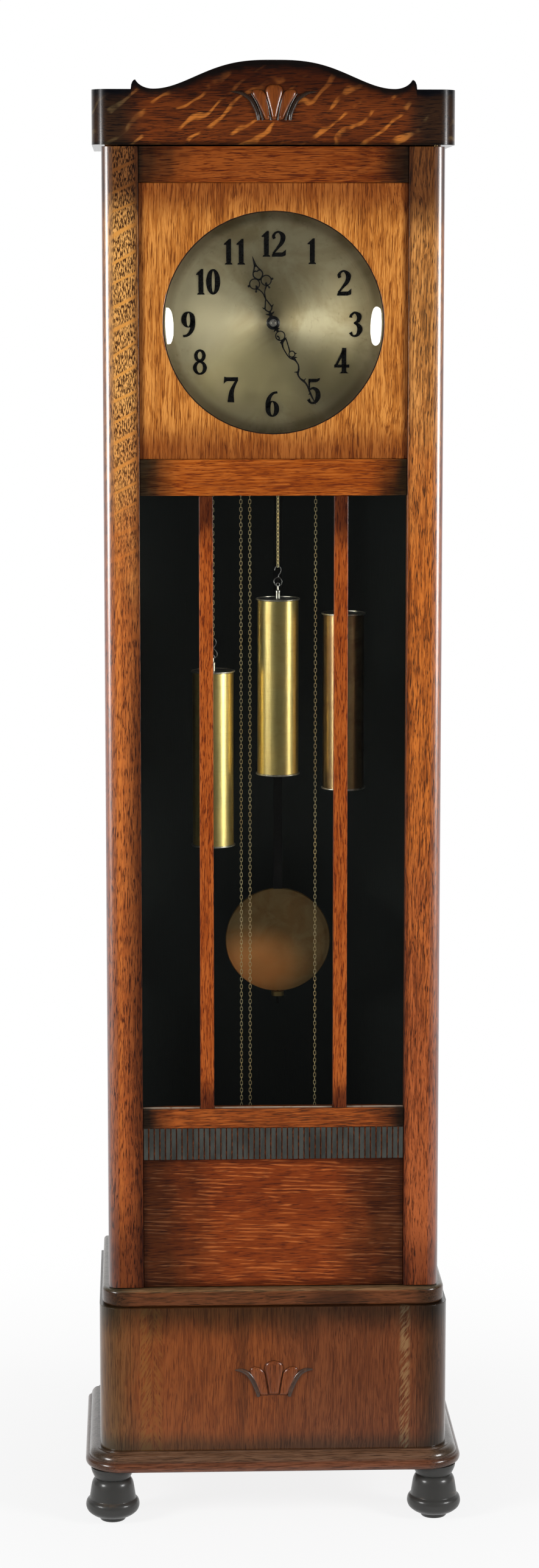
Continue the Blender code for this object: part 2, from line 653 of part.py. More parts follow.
def build_door_panels(finishes, carrier):
    """The dial panel with its round opening, the lower panel and the reeded strip."""
    edge = STILE_INNER_X - FIT_GAP
    front = DOOR_FRONT_Y + PANEL_RECESS
    back = front + PANEL_THICKNESS
    bm = block((-edge, front, DIAL_PANEL_Z + FIT_GAP), (edge, back, TOP_RAIL_Z - FIT_GAP))
    dial_panel = solid("door_dial_panel", bm, finishes["oak_golden"], carrier)
    disc = [(0.0, -PANEL_THICKNESS), (DIAL_OPENING_RADIUS, -PANEL_THICKNESS)]
    disc += [(DIAL_OPENING_RADIUS, 2 * PANEL_THICKNESS), (0.0, 2 * PANEL_THICKNESS)]
    bm = turned(disc, (0.0, front, DIAL_Z), "Y", DIAL_SEGMENTS)
    combine(dial_panel, solid("dial_opening_cutter", bm, finishes["oak_golden"], carrier), "DIFFERENCE")
    bm = block((-edge, front, DOOR_BOTTOM_Z), (edge, back, LOWER_PANEL_TOP_Z - FIT_GAP))
    solid("door_lower_panel", bm, finishes["oak_red"], carrier)
    pitch = 2.0 * edge / REED_COUNT
    crown = DOOR_FRONT_Y + REED_RECESS
    plan = [(-edge, crown + REEDED_THICKNESS)]
    for k in range(REED_COUNT):
        start = -edge + k * pitch
        plan += [(start, crown + REED_DEPTH), (start + pitch / 4, crown), (start + pitch * 3 / 4, crown)]
    plan += [(edge, crown + REED_DEPTH), (edge, crown + REEDED_THICKNESS)]
    bm = prism(plan, LOWER_PANEL_TOP_Z, REEDED_TOP_Z - FIT_GAP, "Z")
    solid("door_reeded_strip", bm, finishes["ebony"], carrier)


def build_door_glazing(finishes, carrier):
    """Two glazing bars and three panes in the tall opening."""
    low, high = GLASS_BOTTOM_Z + FIT_GAP, GLASS_TOP_Z - FIT_GAP
    front = DOOR_FRONT_Y + RAIL_RECESS
    half = BAR_WIDTH / 2
    for name, side in (("left", -1), ("right", 1)):
        x = side * BAR_OFFSET
        bm = block((x - half, front, low), (x + half, front + BAR_THICKNESS, high))
        solid(f"glazing_bar_{name}", bm, finishes["oak"], carrier)
    inner = BAR_OFFSET - half - FIT_GAP
    outer = (BAR_OFFSET + half + FIT_GAP, STILE_INNER_X - FIT_GAP)
    glass_y = front + PANE_SETBACK
    panes = {"left": (-outer[1], -outer[0]), "centre": (-inner, inner), "right": outer}
    for name, (start, end) in panes.items():
        bm = block((start, glass_y, low), (end, glass_y + PANE_THICKNESS, high))
        solid(f"pane_{name}", bm, finishes["glass"], carrier)


def build_dial_glass(finishes, carrier):
    """The domed dial glass, a shell of even thickness seated in the dial panel's opening."""
    rim = DIAL_OPENING_RADIUS - FIT_GAP
    sphere = (rim**2 + DIAL_GLASS_RISE**2) / (2.0 * DIAL_GLASS_RISE)
    radii = [rim * k / DIAL_GLASS_STEPS for k in range(DIAL_GLASS_STEPS + 1)]
    dome = [(r, sphere - math.sqrt(sphere**2 - r**2)) for r in radii]
    profile = dome + [(r, h + DIAL_GLASS_THICKNESS) for r, h in reversed(dome)]
    apex_y = DOOR_FRONT_Y + PANEL_RECESS + DIAL_GLASS_SETBACK - DIAL_GLASS_RISE
    bm = turned(profile, (0.0, apex_y, DIAL_Z), "Y", DIAL_SEGMENTS)
    solid("dial_glass", bm, finishes["glass"], carrier)


def build_pivot_pins(finishes, carrier, stile, cap, hood_side):
    """The two pins that the door turns on, with their holes in the stile, the cap and the hood."""
    spans = {
        "door_pivot_bottom": (CAP_TOP_Z, DOOR_BOTTOM_Z, cap),
        "door_pivot_top": (DOOR_TOP_Z, TRUNK_TOP_Z, hood_side),
    }
    for name, (low, high, holder) in spans.items():
        bottom, top = low - PIVOT_PIN_DEPTH, high + PIVOT_PIN_DEPTH
        pin = [(0.0, bottom), (PIVOT_PIN_RADIUS, bottom), (PIVOT_PIN_RADIUS, top), (0.0, top)]
        bm = turned(pin, (PIVOT_X, PIVOT_Y, 0.0), "Z", PIN_SEGMENTS)
        solid(name, bm, finishes["steel"], carrier)
        hole_radius = PIVOT_PIN_RADIUS + FIT_GAP
        bottom, top = bottom - FIT_GAP, top + FIT_GAP
        hole = [(0.0, bottom), (hole_radius, bottom), (hole_radius, top), (0.0, top)]
        bm = turned(hole, (PIVOT_X, PIVOT_Y, 0.0), "Z", PIN_SEGMENTS)
        cutter = solid(f"{name}_hole", bm, finishes["steel"], carrier)
        combine(stile, cutter, "DIFFERENCE")
        combine(holder, cutter, "DIFFERENCE")


# The dial and the hands


def build_dial(finishes, carrier):
    """The dial plate with four feet that reach the movement's front plate."""
    hole = HOUR_PIPE_RADIUS + 2 * FIT_GAP
    plate = [(hole, 0.0), (DIAL_RADIUS, 0.0), (DIAL_RADIUS, DIAL_THICKNESS), (hole, DIAL_THICKNESS)]
    bm = turned(plate, (0.0, DIAL_FRONT_Y, DIAL_Z), "Y", DIAL_SEGMENTS, ring=True)
    dial = solid("dial_plate", bm, finishes["dial"], carrier)
    half = DIAL_THICKNESS / 2
    post = [(0.0, half), (DIAL_FOOT_RADIUS, half)]
    post += [(r, DIAL_THICKNESS + DIAL_FOOT_LENGTH) for r in (DIAL_FOOT_RADIUS, 0.0)]
    for k, (across, up) in enumerate(((-1, -1), (1, -1), (-1, 1), (1, 1))):
        place = (across * DIAL_FOOT_SPREAD, DIAL_FRONT_Y, DIAL_Z + up * DIAL_FOOT_SPREAD)
        bm = turned(post, place, "Y", WIRE_SEGMENTS)
        combine(dial, solid(f"dial_foot_{k}", bm, finishes["dial"], carrier), "UNION")


def hand_blade(centre_line, half_width, start, end, front_y, angle):
    """A flat blade along a wavy centre line, turned clockwise from twelve by an angle in degrees."""
    places = [start + (end - start) * k / HAND_STEPS for k in range(HAND_STEPS + 1)]
    right = [(centre_line(s) + half_width(s), s) for s in places]
    left = [(centre_line(s) - half_width(s), s) for s in reversed(places)]
    bm = prism([*right, *left], front_y, front_y + HAND_THICKNESS, "Y")
    bmesh.ops.rotate(
        bm, cent=(0, 0, 0), matrix=Matrix.Rotation(math.radians(angle), 3, "Y"), verts=bm.verts
    )
    bmesh.ops.translate(bm, vec=(0.0, 0.0, DIAL_Z), verts=bm.verts)
    return bm


def build_minute_hand(finishes, carrier):
    """The serpentine minute hand, in one with its boss, its arbor and the nut in front."""
    front = DIAL_FRONT_Y - MINUTE_HAND_LIFT
    back = FRONT_PLATE_Y - FIT_GAP
    boss_back = front + HAND_BOSS_THICKNESS
    profile = [
        (0.0, front - HAND_NUT_LENGTH), (HAND_NUT_RADIUS, front - HAND_NUT_LENGTH),
        (HAND_NUT_RADIUS, front), (HAND_BOSS_RADIUS, front), (HAND_BOSS_RADIUS, boss_back),
        (CENTRE_ARBOR_RADIUS, boss_back), (CENTRE_ARBOR_RADIUS, back), (0.0, back),
    ]
    bm = turned(profile, (0.0, 0.0, DIAL_Z), "Y", ROUND_SEGMENTS)
    hand = solid("minute_hand", bm, finishes["steel"], carrier)

    def line(s):
        return MINUTE_WAVE * math.sin(math.tau * s / MINUTE_WAVE_LENGTH) * (1 - s / MINUTE_HAND_LENGTH)

    def width(s):
        return MINUTE_HALF_WIDTH * (1.0 - HAND_TAPER * s / MINUTE_HAND_LENGTH)

    blade_y = front + (HAND_BOSS_THICKNESS - HAND_THICKNESS) / 2
    start = HAND_BOSS_RADIUS / 2
    bm = hand_blade(line, width, start, MINUTE_HAND_LENGTH, blade_y, MINUTE_HAND_ANGLE)
    combine(hand, solid("minute_blade", bm, finishes["steel"], carrier), "UNION")


def build_hour_hand(finishes, carrier):
    """The hour hand with its boss and pipe: a stem, two loops and a leaf at the tip."""
    front = DIAL_FRONT_Y - HOUR_HAND_LIFT
    back = FRONT_PLATE_Y - FIT_GAP
    boss_back = front + HAND_BOSS_THICKNESS
    bore = CENTRE_ARBOR_RADIUS + FIT_GAP
    profile = [
        (bore, front), (HAND_BOSS_RADIUS, front), (HAND_BOSS_RADIUS, boss_back),
        (HOUR_PIPE_RADIUS, boss_back), (HOUR_PIPE_RADIUS, back), (bore, back),
    ]
    bm = turned(profile, (0.0, 0.0, DIAL_Z), "Y", ROUND_SEGMENTS, ring=True)
    hand = solid("hour_hand", bm, finishes["steel"], carrier)

    def line(s):
        return 0.0

    def width(s):
        if s < HOUR_LEAF_START:
            return HOUR_HALF_WIDTH
        share = (s - HOUR_LEAF_START) / (HOUR_HAND_LENGTH - HOUR_LEAF_START)
        leaf = math.sin(math.pi * share**HOUR_LEAF_FULLNESS)
        stem = HOUR_HALF_WIDTH * (1.0 - HAND_TAPER * share)
        return stem + (HOUR_LEAF_HALF_WIDTH - HOUR_HALF_WIDTH) * leaf

    blade_y = front + (HAND_BOSS_THICKNESS - HAND_THICKNESS) / 2
    start = (HAND_BOSS_RADIUS + bore) / 2
    bm = hand_blade(line, width, start, HOUR_HAND_LENGTH, blade_y, HOUR_HAND_ANGLE)
    combine(hand, solid("hour_blade", bm, finishes["steel"], carrier), "UNION")
    turn = math.radians(HOUR_HAND_ANGLE)
    inner = HOUR_LOOP_RADIUS - HOUR_LOOP_WIRE
    thin = HAND_THICKNESS - 2 * HAND_LOOP_STEP
    section = [(inner, 0.0), (HOUR_LOOP_RADIUS, 0.0), (HOUR_LOOP_RADIUS, thin), (inner, thin)]
    for name, side in (("left", -1), ("right", 1)):
        across, up = side * HOUR_LOOP_OFFSET, HOUR_LOOP_HEIGHT
        place = (
            across * math.cos(turn) + up * math.sin(turn),
            blade_y + HAND_LOOP_STEP,
            DIAL_Z - across * math.sin(turn) + up * math.cos(turn),
        )
        bm = turned(section, place, "Y", PIN_SEGMENTS, ring=True)
        combine(hand, solid(f"hour_loop_{name}", bm, finishes["steel"], carrier), "UNION")


# The movement


def sprocket_x(train):
    """A sprocket's axis lies one pitch radius from its load strand, towards the free strand."""
    return LOAD_X[train] + FREE_SIDE[train] * SPROCKET_PITCH_RADIUS


def free_x(train):
    """A chain's free strand leaves the other side of its sprocket."""
    return LOAD_X[train] + 2.0 * FREE_SIDE[train] * SPROCKET_PITCH_RADIUS


def build_plates(finishes, carrier):
    """The front plate, and the back plate with its riveted pillars and the pendulum's cock."""
    low_x, high_x = MOVEMENT_X - PLATE_HALF_WIDTH, MOVEMENT_X + PLATE_HALF_WIDTH
    bm = block((low_x, FRONT_PLATE_Y, PLATE_BOTTOM_Z), (high_x, PLATES_FRONT_Y, PLATE_TOP_Z))
    solid("movement_front_plate", bm, finishes["brass"], carrier)
    bm = block((low_x, PLATES_BACK_Y, PLATE_BOTTOM_Z), (high_x, BACK_PLATE_END_Y, PLATE_TOP_Z))
    back = solid("movement_back_plate", bm, finishes["brass"], carrier)
    length = PLATE_SPACING - FIT_GAP
    pillar = [
        (0.0, -length), (PILLAR_RADIUS, -length),
        (PILLAR_RADIUS, PLATE_THICKNESS / 2), (0.0, PLATE_THICKNESS / 2),
    ]
    spots = [
        (x, z)
        for x in (low_x + PILLAR_INSET, high_x - PILLAR_INSET)
        for z in (PLATE_BOTTOM_Z + PILLAR_INSET, PLATE_TOP_Z - PILLAR_INSET)
    ]
    for k, (x, z) in enumerate(spots):
        bm = turned(pillar, (x, PLATES_BACK_Y, z), "Y", PIN_SEGMENTS)
        combine(back, solid(f"pillar_{k}", bm, finishes["brass"], carrier), "UNION")
    half = COCK_WIDTH / 2
    bm = block(
        (PENDULUM_X - half, PLATES_BACK_Y + PLATE_THICKNESS / 2, SPRING_TOP_Z),
        (PENDULUM_X + half, PENDULUM_Y + COCK_REACH, SPRING_TOP_Z + COCK_HEIGHT),
    )
    combine(back, solid("pendulum_cock", bm, finishes["brass"], carrier), "UNION")
    clear = ARBOR_RADIUS + FIT_GAP
    start, end = -PLATE_THICKNESS, 2 * PLATE_THICKNESS
    hole = [(0.0, start), (clear, start), (clear, end), (0.0, end)]
    bm = turned(hole, (PENDULUM_X, PLATES_BACK_Y, PENDULUM_PIVOT_Z), "Y", PIN_SEGMENTS)
    combine(back, solid("anchor_hole", bm, finishes["brass"], carrier), "DIFFERENCE")


def build_seat_board(finishes, carrier):
    """The seat board that carries the movement, with a slot that the chains run down through."""
    edge = SIDE_INNER_X - FIT_GAP
    bm = block(
        (-edge, FRONT_PLATE_Y - SEAT_MARGIN, SEAT_TOP_Z - SEAT_THICKNESS),
        (edge, BACK_PLATE_END_Y + SEAT_MARGIN, SEAT_TOP_Z),
    )
    seat = solid("seat_board", bm, finishes["oak_dark"], carrier)
    strands = [x for train in TRAINS for x in (LOAD_X[train], free_x(train))]
    bm = block(
        (min(strands) - SEAT_SLOT_MARGIN, CHAIN_Y - SEAT_SLOT_HALF_DEPTH, SEAT_TOP_Z - 2 * SEAT_THICKNESS),
        (max(strands) + SEAT_SLOT_MARGIN, CHAIN_Y + SEAT_SLOT_HALF_DEPTH, SEAT_TOP_Z + SEAT_THICKNESS),
    )
    combine(seat, solid("chain_slot", bm, finishes["oak_dark"], carrier), "DIFFERENCE")


def build_sprockets(finishes, root):
    """Three grooved chain sprockets on arbors that run between the plates."""
    half = CHAIN_RADIUS + FIT_GAP
    rim = half + SPROCKET_FLANGE
    floor = SPROCKET_PITCH_RADIUS - CHAIN_RADIUS - FIT_GAP
    flange = SPROCKET_PITCH_RADIUS + CHAIN_RADIUS
    end = PLATE_SPACING / 2 - FIT_GAP
    profile = [
        (0.0, -end), (SPROCKET_ARBOR_RADIUS, -end), (SPROCKET_ARBOR_RADIUS, -rim), (flange, -rim),
        (flange, -half), (floor, -half), (floor, half), (flange, half), (flange, rim),
        (SPROCKET_ARBOR_RADIUS, rim), (SPROCKET_ARBOR_RADIUS, end), (0.0, end),
    ]
    for train in TRAINS:
        place = (sprocket_x(train), CHAIN_Y, SPROCKET_Z)
        axis = pivot_empty(f"sprocket_axis_{train}", place)
        axis.parent = root
        bm = turned(profile, place, "Y", ROUND_SEGMENTS)
        solid(f"chain_sprocket_{train}", bm, finishes["brass"], axis)


def build_chains(finishes, root):
    """Three chains, each up from its weight's eye, over its sprocket and down to its end ring."""
    for train in TRAINS:
        centre = (sprocket_x(train), SPROCKET_Z)
        start = 180.0 if FREE_SIDE[train] > 0 else 0.0
        wrap = arc(centre, SPROCKET_PITCH_RADIUS, start, 180.0 - start, CHAIN_WRAP_STEPS)
        load_end = (LOAD_X[train], SPROCKET_Z - LOAD_DROP[train] + FIT_GAP)
        free_end = (free_x(train), RING_Z + RING_RADIUS + RING_WIRE + FIT_GAP)
        route = [load_end, *wrap, free_end]
        curve = bpy.data.curves.new(f"chain_{train}", "CURVE")
        curve.dimensions = "3D"
        curve.bevel_depth = CHAIN_RADIUS
        curve.bevel_resolution = CHAIN_BEVEL_STEPS
        curve.use_fill_caps = True
        spline = curve.splines.new("POLY")
        spline.points.add(len(route) - 1)
        for point, (x, z) in zip(spline.points, route):
            point.co = (x, CHAIN_Y, z, 1.0)
        curve.materials.append(finishes["brass"])
        chain = bpy.data.objects.new(f"chain_{train}", curve)
        chain.parent = root
        bpy.context.scene.collection.objects.link(chain)


def build_weights(finishes, root):
    """Three brass-cased weights with a nut, a rod and an eye, and the rings on the chains' ends."""
    nut_top = WEIGHT_LENGTH + WEIGHT_NUT_LENGTH
    rod_top = nut_top + WEIGHT_ROD_LENGTH
    inner = WEIGHT_RADIUS - WEIGHT_EDGE
    profile = [
        (0.0, 0.0), (inner, 0.0), (WEIGHT_RADIUS, WEIGHT_EDGE),
        (WEIGHT_RADIUS, WEIGHT_LENGTH - WEIGHT_EDGE), (inner, WEIGHT_LENGTH),
        (WEIGHT_NUT_RADIUS, WEIGHT_LENGTH), (WEIGHT_NUT_RADIUS, nut_top),
        (WEIGHT_ROD_RADIUS, nut_top), (WEIGHT_ROD_RADIUS, rod_top), (0.0, rod_top),
    ]
    height = rod_top + 2.0 * EYE_RADIUS
    for train in TRAINS:
        x = LOAD_X[train]
        bottom = SPROCKET_Z - LOAD_DROP[train] - height - EYE_WIRE
        hanger = pivot_empty(f"weight_hanger_{train}", (x, CHAIN_Y, bottom))
        hanger.parent = root
        bm = turned(profile, (x, CHAIN_Y, bottom), "Z", ROUND_SEGMENTS)
        weight = solid(f"weight_{train}", bm, finishes["brass"], hanger)
        bm = torus((x, CHAIN_Y, bottom + rod_top + EYE_RADIUS), EYE_RADIUS, EYE_WIRE, PIN_SEGMENTS)
        combine(weight, solid(f"weight_eye_{train}", bm, finishes["brass"], hanger), "UNION")
        tail = pivot_empty(f"chain_tail_{train}", (free_x(train), CHAIN_Y, RING_Z))
        tail.parent = root
        bm = torus(tail.location, RING_RADIUS, RING_WIRE, PIN_SEGMENTS)
        solid(f"chain_ring_{train}", bm, finishes["brass"], tail)


def build_escapement(finishes, anchor_axis, escape_axis):
    """The escape wheel between the plates, and the anchor with its arbor and crutch."""
    points = []
    pitch = 360.0 / ESCAPE_TEETH
    for k in range(ESCAPE_TEETH):
        tip = pitch * k
        for turn, radius in ((tip, ESCAPE_RADIUS), (tip + pitch / 2, ESCAPE_RADIUS - ESCAPE_TOOTH)):
            points += arc((PENDULUM_X, ESCAPE_Z), radius, turn, turn, 1)[:1]
    wheel_y = ESCAPE_Y - ESCAPE_THICKNESS / 2
    bm = prism(points, wheel_y, wheel_y + ESCAPE_THICKNESS, "Y")
    wheel = solid("escape_wheel", bm, finishes["brass"], escape_axis)
    start, end = PLATES_FRONT_Y + FIT_GAP, PLATES_BACK_Y - FIT_GAP
    shaft = [(0.0, start), (ARBOR_RADIUS, start), (ARBOR_RADIUS, end), (0.0, end)]
    bm = turned(shaft, (PENDULUM_X, 0.0, ESCAPE_Z), "Y", PIN_SEGMENTS)
    combine(wheel, solid("escape_arbor", bm, finishes["steel"], escape_axis), "UNION")

    nib_angle = math.radians(ANCHOR_NIB_ANGLE)
    nib_distance = ESCAPE_RADIUS + ANCHOR_NIB_CLEARANCE
    nib = (nib_distance * math.sin(nib_angle), nib_distance * math.cos(nib_angle) - ESCAPE_DROP)
    right = [
        (0.0, ANCHOR_HUB_RADIUS), (ANCHOR_HUB_RADIUS, ANCHOR_HUB_RADIUS * 0.8),
        (ANCHOR_REACH, -ANCHOR_HUB_RADIUS), (ANCHOR_REACH + ANCHOR_NIB_SPREAD, nib[1]), nib,
        (nib[0] - ANCHOR_NIB_SPREAD, -ANCHOR_HUB_RADIUS * 2), (ANCHOR_HUB_RADIUS, -ANCHOR_HUB_RADIUS * 0.8),
    ]
    outline = right + [(-x, z) for x, z in reversed(right[1:])]
    placed = [(PENDULUM_X + x, PENDULUM_PIVOT_Z + z) for x, z in outline]
    body_y = ESCAPE_Y - ANCHOR_THICKNESS / 2
    bm = prism(placed, body_y, body_y + ANCHOR_THICKNESS, "Y")
    anchor = solid("pallet_anchor", bm, finishes["steel"], anchor_axis)
    crutch_y = BACK_PLATE_END_Y + CRUTCH_SETBACK
    half = CRUTCH_WIDTH / 2
    shaft = [(0.0, start), (ARBOR_RADIUS, start), (ARBOR_RADIUS, crutch_y), (0.0, crutch_y)]
    bm = turned(shaft, (PENDULUM_X, 0.0, PENDULUM_PIVOT_Z), "Y", PIN_SEGMENTS)
    combine(anchor, solid("anchor_arbor", bm, finishes["steel"], anchor_axis), "UNION")
    low = PENDULUM_PIVOT_Z - CRUTCH_LENGTH
    inner = ROD_WIDTH / 2 + CRUTCH_FORK_GAP
    pieces = {
        "crutch_rod": (
            (PENDULUM_X - half, crutch_y - CRUTCH_WIDTH, low),
            (PENDULUM_X + half, crutch_y - half / 2, PENDULUM_PIVOT_Z + ARBOR_RADIUS / 2),
        ),
        "crutch_bridge": (
            (PENDULUM_X - inner - half, crutch_y - CRUTCH_WIDTH + FACE_STEP, low + FACE_STEP),
            (PENDULUM_X + inner + half, crutch_y, low + CRUTCH_WIDTH),
        ),
    }
    for name, side in (("left", -1), ("right", 1)):
        edges = sorted((PENDULUM_X + side * inner, PENDULUM_X + side * (inner + half - FACE_STEP)))
        pieces[f"crutch_prong_{name}"] = (
            (edges[0], crutch_y - half, low + 2 * FACE_STEP),
            (edges[1], PENDULUM_Y + ROD_THICKNESS, low + CRUTCH_WIDTH - 2 * FACE_STEP),
        )
    for name, (corner, opposite) in pieces.items():
        guide = solid(name, block(corner, opposite), finishes["steel"], anchor_axis)
        combine(anchor, guide, "UNION")


def build_pendulum(finishes, axis):
    """The pendulum: suspension spring, wooden rod with its threaded pin, bob and rating nut."""
    half, width = SPRING_THICKNESS / 2, SPRING_WIDTH / 2
    spring_low = SPRING_TOP_Z - SPRING_LENGTH
    bm = block(
        (PENDULUM_X - half, PENDULUM_Y - width, spring_low),
        (PENDULUM_X + half, PENDULUM_Y + width, SPRING_TOP_Z - FIT_GAP),
    )
    solid("suspension_spring", bm, finishes["steel"], axis)
    bob_low = BOB_Z - BOB_RADIUS
    rod_low = bob_low + BOB_SLOT_END
    half, deep = ROD_WIDTH / 2, ROD_THICKNESS / 2
    bm = block(
        (PENDULUM_X - half, PENDULUM_Y - deep, rod_low),
        (PENDULUM_X + half, PENDULUM_Y + deep, spring_low - FIT_GAP),
    )
    rod = solid("pendulum_rod", bm, finishes["oak_dark"], axis)
    pin_low = bob_low - ROD_PIN_LENGTH + BOB_SLOT_END
    pin = [(0.0, pin_low), (ROD_PIN_RADIUS, pin_low)]
    pin += [(ROD_PIN_RADIUS, rod_low + ROD_WIDTH), (0.0, rod_low + ROD_WIDTH)]
    bm = turned(pin, (PENDULUM_X, PENDULUM_Y, 0.0), "Z", PIN_SEGMENTS)
    combine(rod, solid("rod_pin", bm, finishes["steel"], axis), "UNION")

    swell = BOB_THICKNESS / 2 - BOB_EDGE / 2
    quarter = [math.radians(90.0 * k / BOB_STEPS) for k in range(BOB_STEPS + 1)]
    face = [(BOB_RADIUS * math.sin(a), -BOB_EDGE / 2 - swell * math.cos(a)) for a in quarter]
    profile = face + [(r, -h) for r, h in reversed(face)]
    bm = turned(profile, (PENDULUM_X, PENDULUM_Y, BOB_Z), "Y", BOB_SEGMENTS)
    bob = solid("pendulum_bob", bm, finishes["copper"], axis)
    bm = block(
        (PENDULUM_X - half - FIT_GAP, PENDULUM_Y - deep - FIT_GAP, bob_low - BOB_EDGE),
        (PENDULUM_X + half + FIT_GAP, PENDULUM_Y + BOB_THICKNESS, BOB_Z + BOB_RADIUS + BOB_EDGE),
    )
    combine(bob, solid("bob_slot", bm, finishes["copper"], axis), "DIFFERENCE")

    bore = ROD_PIN_RADIUS + FIT_GAP
    top = bob_low - FIT_GAP
    nut = [(bore, top - NUT_HEIGHT), (NUT_RADIUS, top - NUT_HEIGHT), (NUT_RADIUS, top), (bore, top)]
    bm = turned(nut, (PENDULUM_X, PENDULUM_Y, 0.0), "Z", ROUND_SEGMENTS, ring=True)
    solid("rating_nut", bm, finishes["brass"], axis)


def clear_scene():
    """Starts from an empty scene."""
    for item in list(bpy.data.objects):
        bpy.data.objects.remove(item, do_unlink=True)


def build_clock():
    """Builds every piece on the empties that carry it."""
    clear_scene()
    finishes = {
        "oak": finish("stained_oak", (0.19, 0.075, 0.025), 0.35),
        "oak_golden": finish("golden_oak", (0.36, 0.16, 0.045), 0.35),
        "oak_red": finish("reddish_oak", (0.20, 0.065, 0.028), 0.35),
        "oak_dark": finish("dark_oak", (0.07, 0.035, 0.018), 0.6),
        "ebony": finish("ebonised_wood", (0.02, 0.017, 0.015), 0.3),
        "glass": finish("clear_glass", (0.85, 0.88, 0.86), 0.03),
        "brass": finish("polished_brass", (0.66, 0.48, 0.20), 0.25, 1.0),
        "dial": finish("brushed_brass_dial", (0.47, 0.40, 0.24), 0.35, 1.0),
        "copper": finish("coppery_brass", (0.52, 0.30, 0.13), 0.3, 1.0),
        "steel": finish("blackened_steel", (0.03, 0.03, 0.03), 0.35, 0.6),
    }
    root = pivot_empty("longcase_clock", (0.0, 0.0, 0.0))
    door = pivot_empty("door_axis", (PIVOT_X, PIVOT_Y, DOOR_BOTTOM_Z))
    minute = pivot_empty("minute_axis", (0.0, DIAL_FRONT_Y, DIAL_Z))
    hour = pivot_empty("hour_axis", (0.0, DIAL_FRONT_Y, DIAL_Z))
    pendulum = pivot_empty("pendulum_axis", (PENDULUM_X, PENDULUM_Y, PENDULUM_PIVOT_Z))
    anchor = pivot_empty("anchor_axis", (PENDULUM_X, ESCAPE_Y, PENDULUM_PIVOT_Z))
    escape = pivot_empty("escape_axis", (PENDULUM_X, ESCAPE_Y, ESCAPE_Z))
    for empty in (door, minute, hour, pendulum, anchor, escape):
        empty.parent = root

    build_feet(finishes, root)
    build_base(finishes, root)
    build_plinth(finishes, root)
    cap = build_cap(finishes, root)
    build_trunk(finishes, root)
    hood_sides = build_hood(finishes, root)
    build_carvings(finishes, root)
    stiles = build_door_frame(finishes, door)
    build_door_panels(finishes, door)
    build_door_glazing(finishes, door)
    build_dial_glass(finishes, door)
    build_pivot_pins(finishes, root, stiles["right"], cap, hood_sides["right"])
    build_dial(finishes, root)
    build_minute_hand(finishes, minute)
    build_hour_hand(finishes, hour)
    build_plates(finishes, root)
    build_seat_board(finishes, root)
    build_sprockets(finishes, root)
    build_chains(finishes, root)
    build_weights(finishes, root)
    build_escapement(finishes, anchor, escape)
    build_pendulum(finishes, pendulum)


build_clock()
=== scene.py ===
"""Looks of an oak longcase clock: wood, brass, glass, carving, hands, chains and studio light.

Metres, +Z up. The clock faces -Y and stands on the floor at Z = 0, with X = 0 in its middle.
"""
import math

import bmesh
import bpy
import numpy as np
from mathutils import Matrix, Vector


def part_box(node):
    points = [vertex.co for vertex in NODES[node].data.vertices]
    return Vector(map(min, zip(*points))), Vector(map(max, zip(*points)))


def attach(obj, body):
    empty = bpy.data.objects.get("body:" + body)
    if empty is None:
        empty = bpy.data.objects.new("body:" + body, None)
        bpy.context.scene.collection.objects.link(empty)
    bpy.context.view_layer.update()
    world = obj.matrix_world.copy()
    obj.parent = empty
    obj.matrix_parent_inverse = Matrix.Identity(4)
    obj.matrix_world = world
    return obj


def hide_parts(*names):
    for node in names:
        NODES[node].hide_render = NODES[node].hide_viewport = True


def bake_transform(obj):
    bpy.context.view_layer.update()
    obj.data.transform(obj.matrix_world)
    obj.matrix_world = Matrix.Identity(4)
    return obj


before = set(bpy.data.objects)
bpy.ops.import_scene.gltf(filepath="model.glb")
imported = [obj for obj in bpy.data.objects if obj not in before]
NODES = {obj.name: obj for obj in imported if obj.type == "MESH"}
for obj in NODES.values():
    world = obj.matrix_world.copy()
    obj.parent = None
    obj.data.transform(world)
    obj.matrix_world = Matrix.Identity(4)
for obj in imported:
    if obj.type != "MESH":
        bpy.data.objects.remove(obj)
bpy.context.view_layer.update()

# Photograph's camera
CAMERA_PLACE = (-0.1791, -4.80125, 1.7075)
CAMERA_TILT = math.radians(81.685)
CAMERA_TURN = math.radians(-2.124)
CAMERA_LENS_MM = 81.08
CAMERA_SENSOR_MM = 36.0

# Studio light
LAMP_TURN = 57
LAMP_HEIGHT = 1.5
LAMP_DISTANCE = 3.2
LAMP_WIDTH = 1.05
LAMP_TALL = 0.98
LAMP_POWER = 66
LAMP_AIM_Z = 1.05
ROOM_LIGHT = 0.24
ROOM_GLEAM = 0.03
FLOOR_RADIUS = 40.0
FLOOR_STEPS = 96

# Making of pieces
MM = 0.001
MERGE_DISTANCE = 1e-6
WELD_DISTANCE = 0.00002
POLE_RADIUS = 0.0004
PEN_LEAST = 0.00005
CARVING_SINK = 0.0006
CORNER_STEPS = 20
BEVEL_STEPS = 2
BEVEL_ANGLE = math.radians(40)
EDGE_EASE = 0.0008
BAR_EASE = 0.0009
SLIM_EASE = 0.0005
THIN_EASE = 0.0004
SEAM_EASE = 0.0003

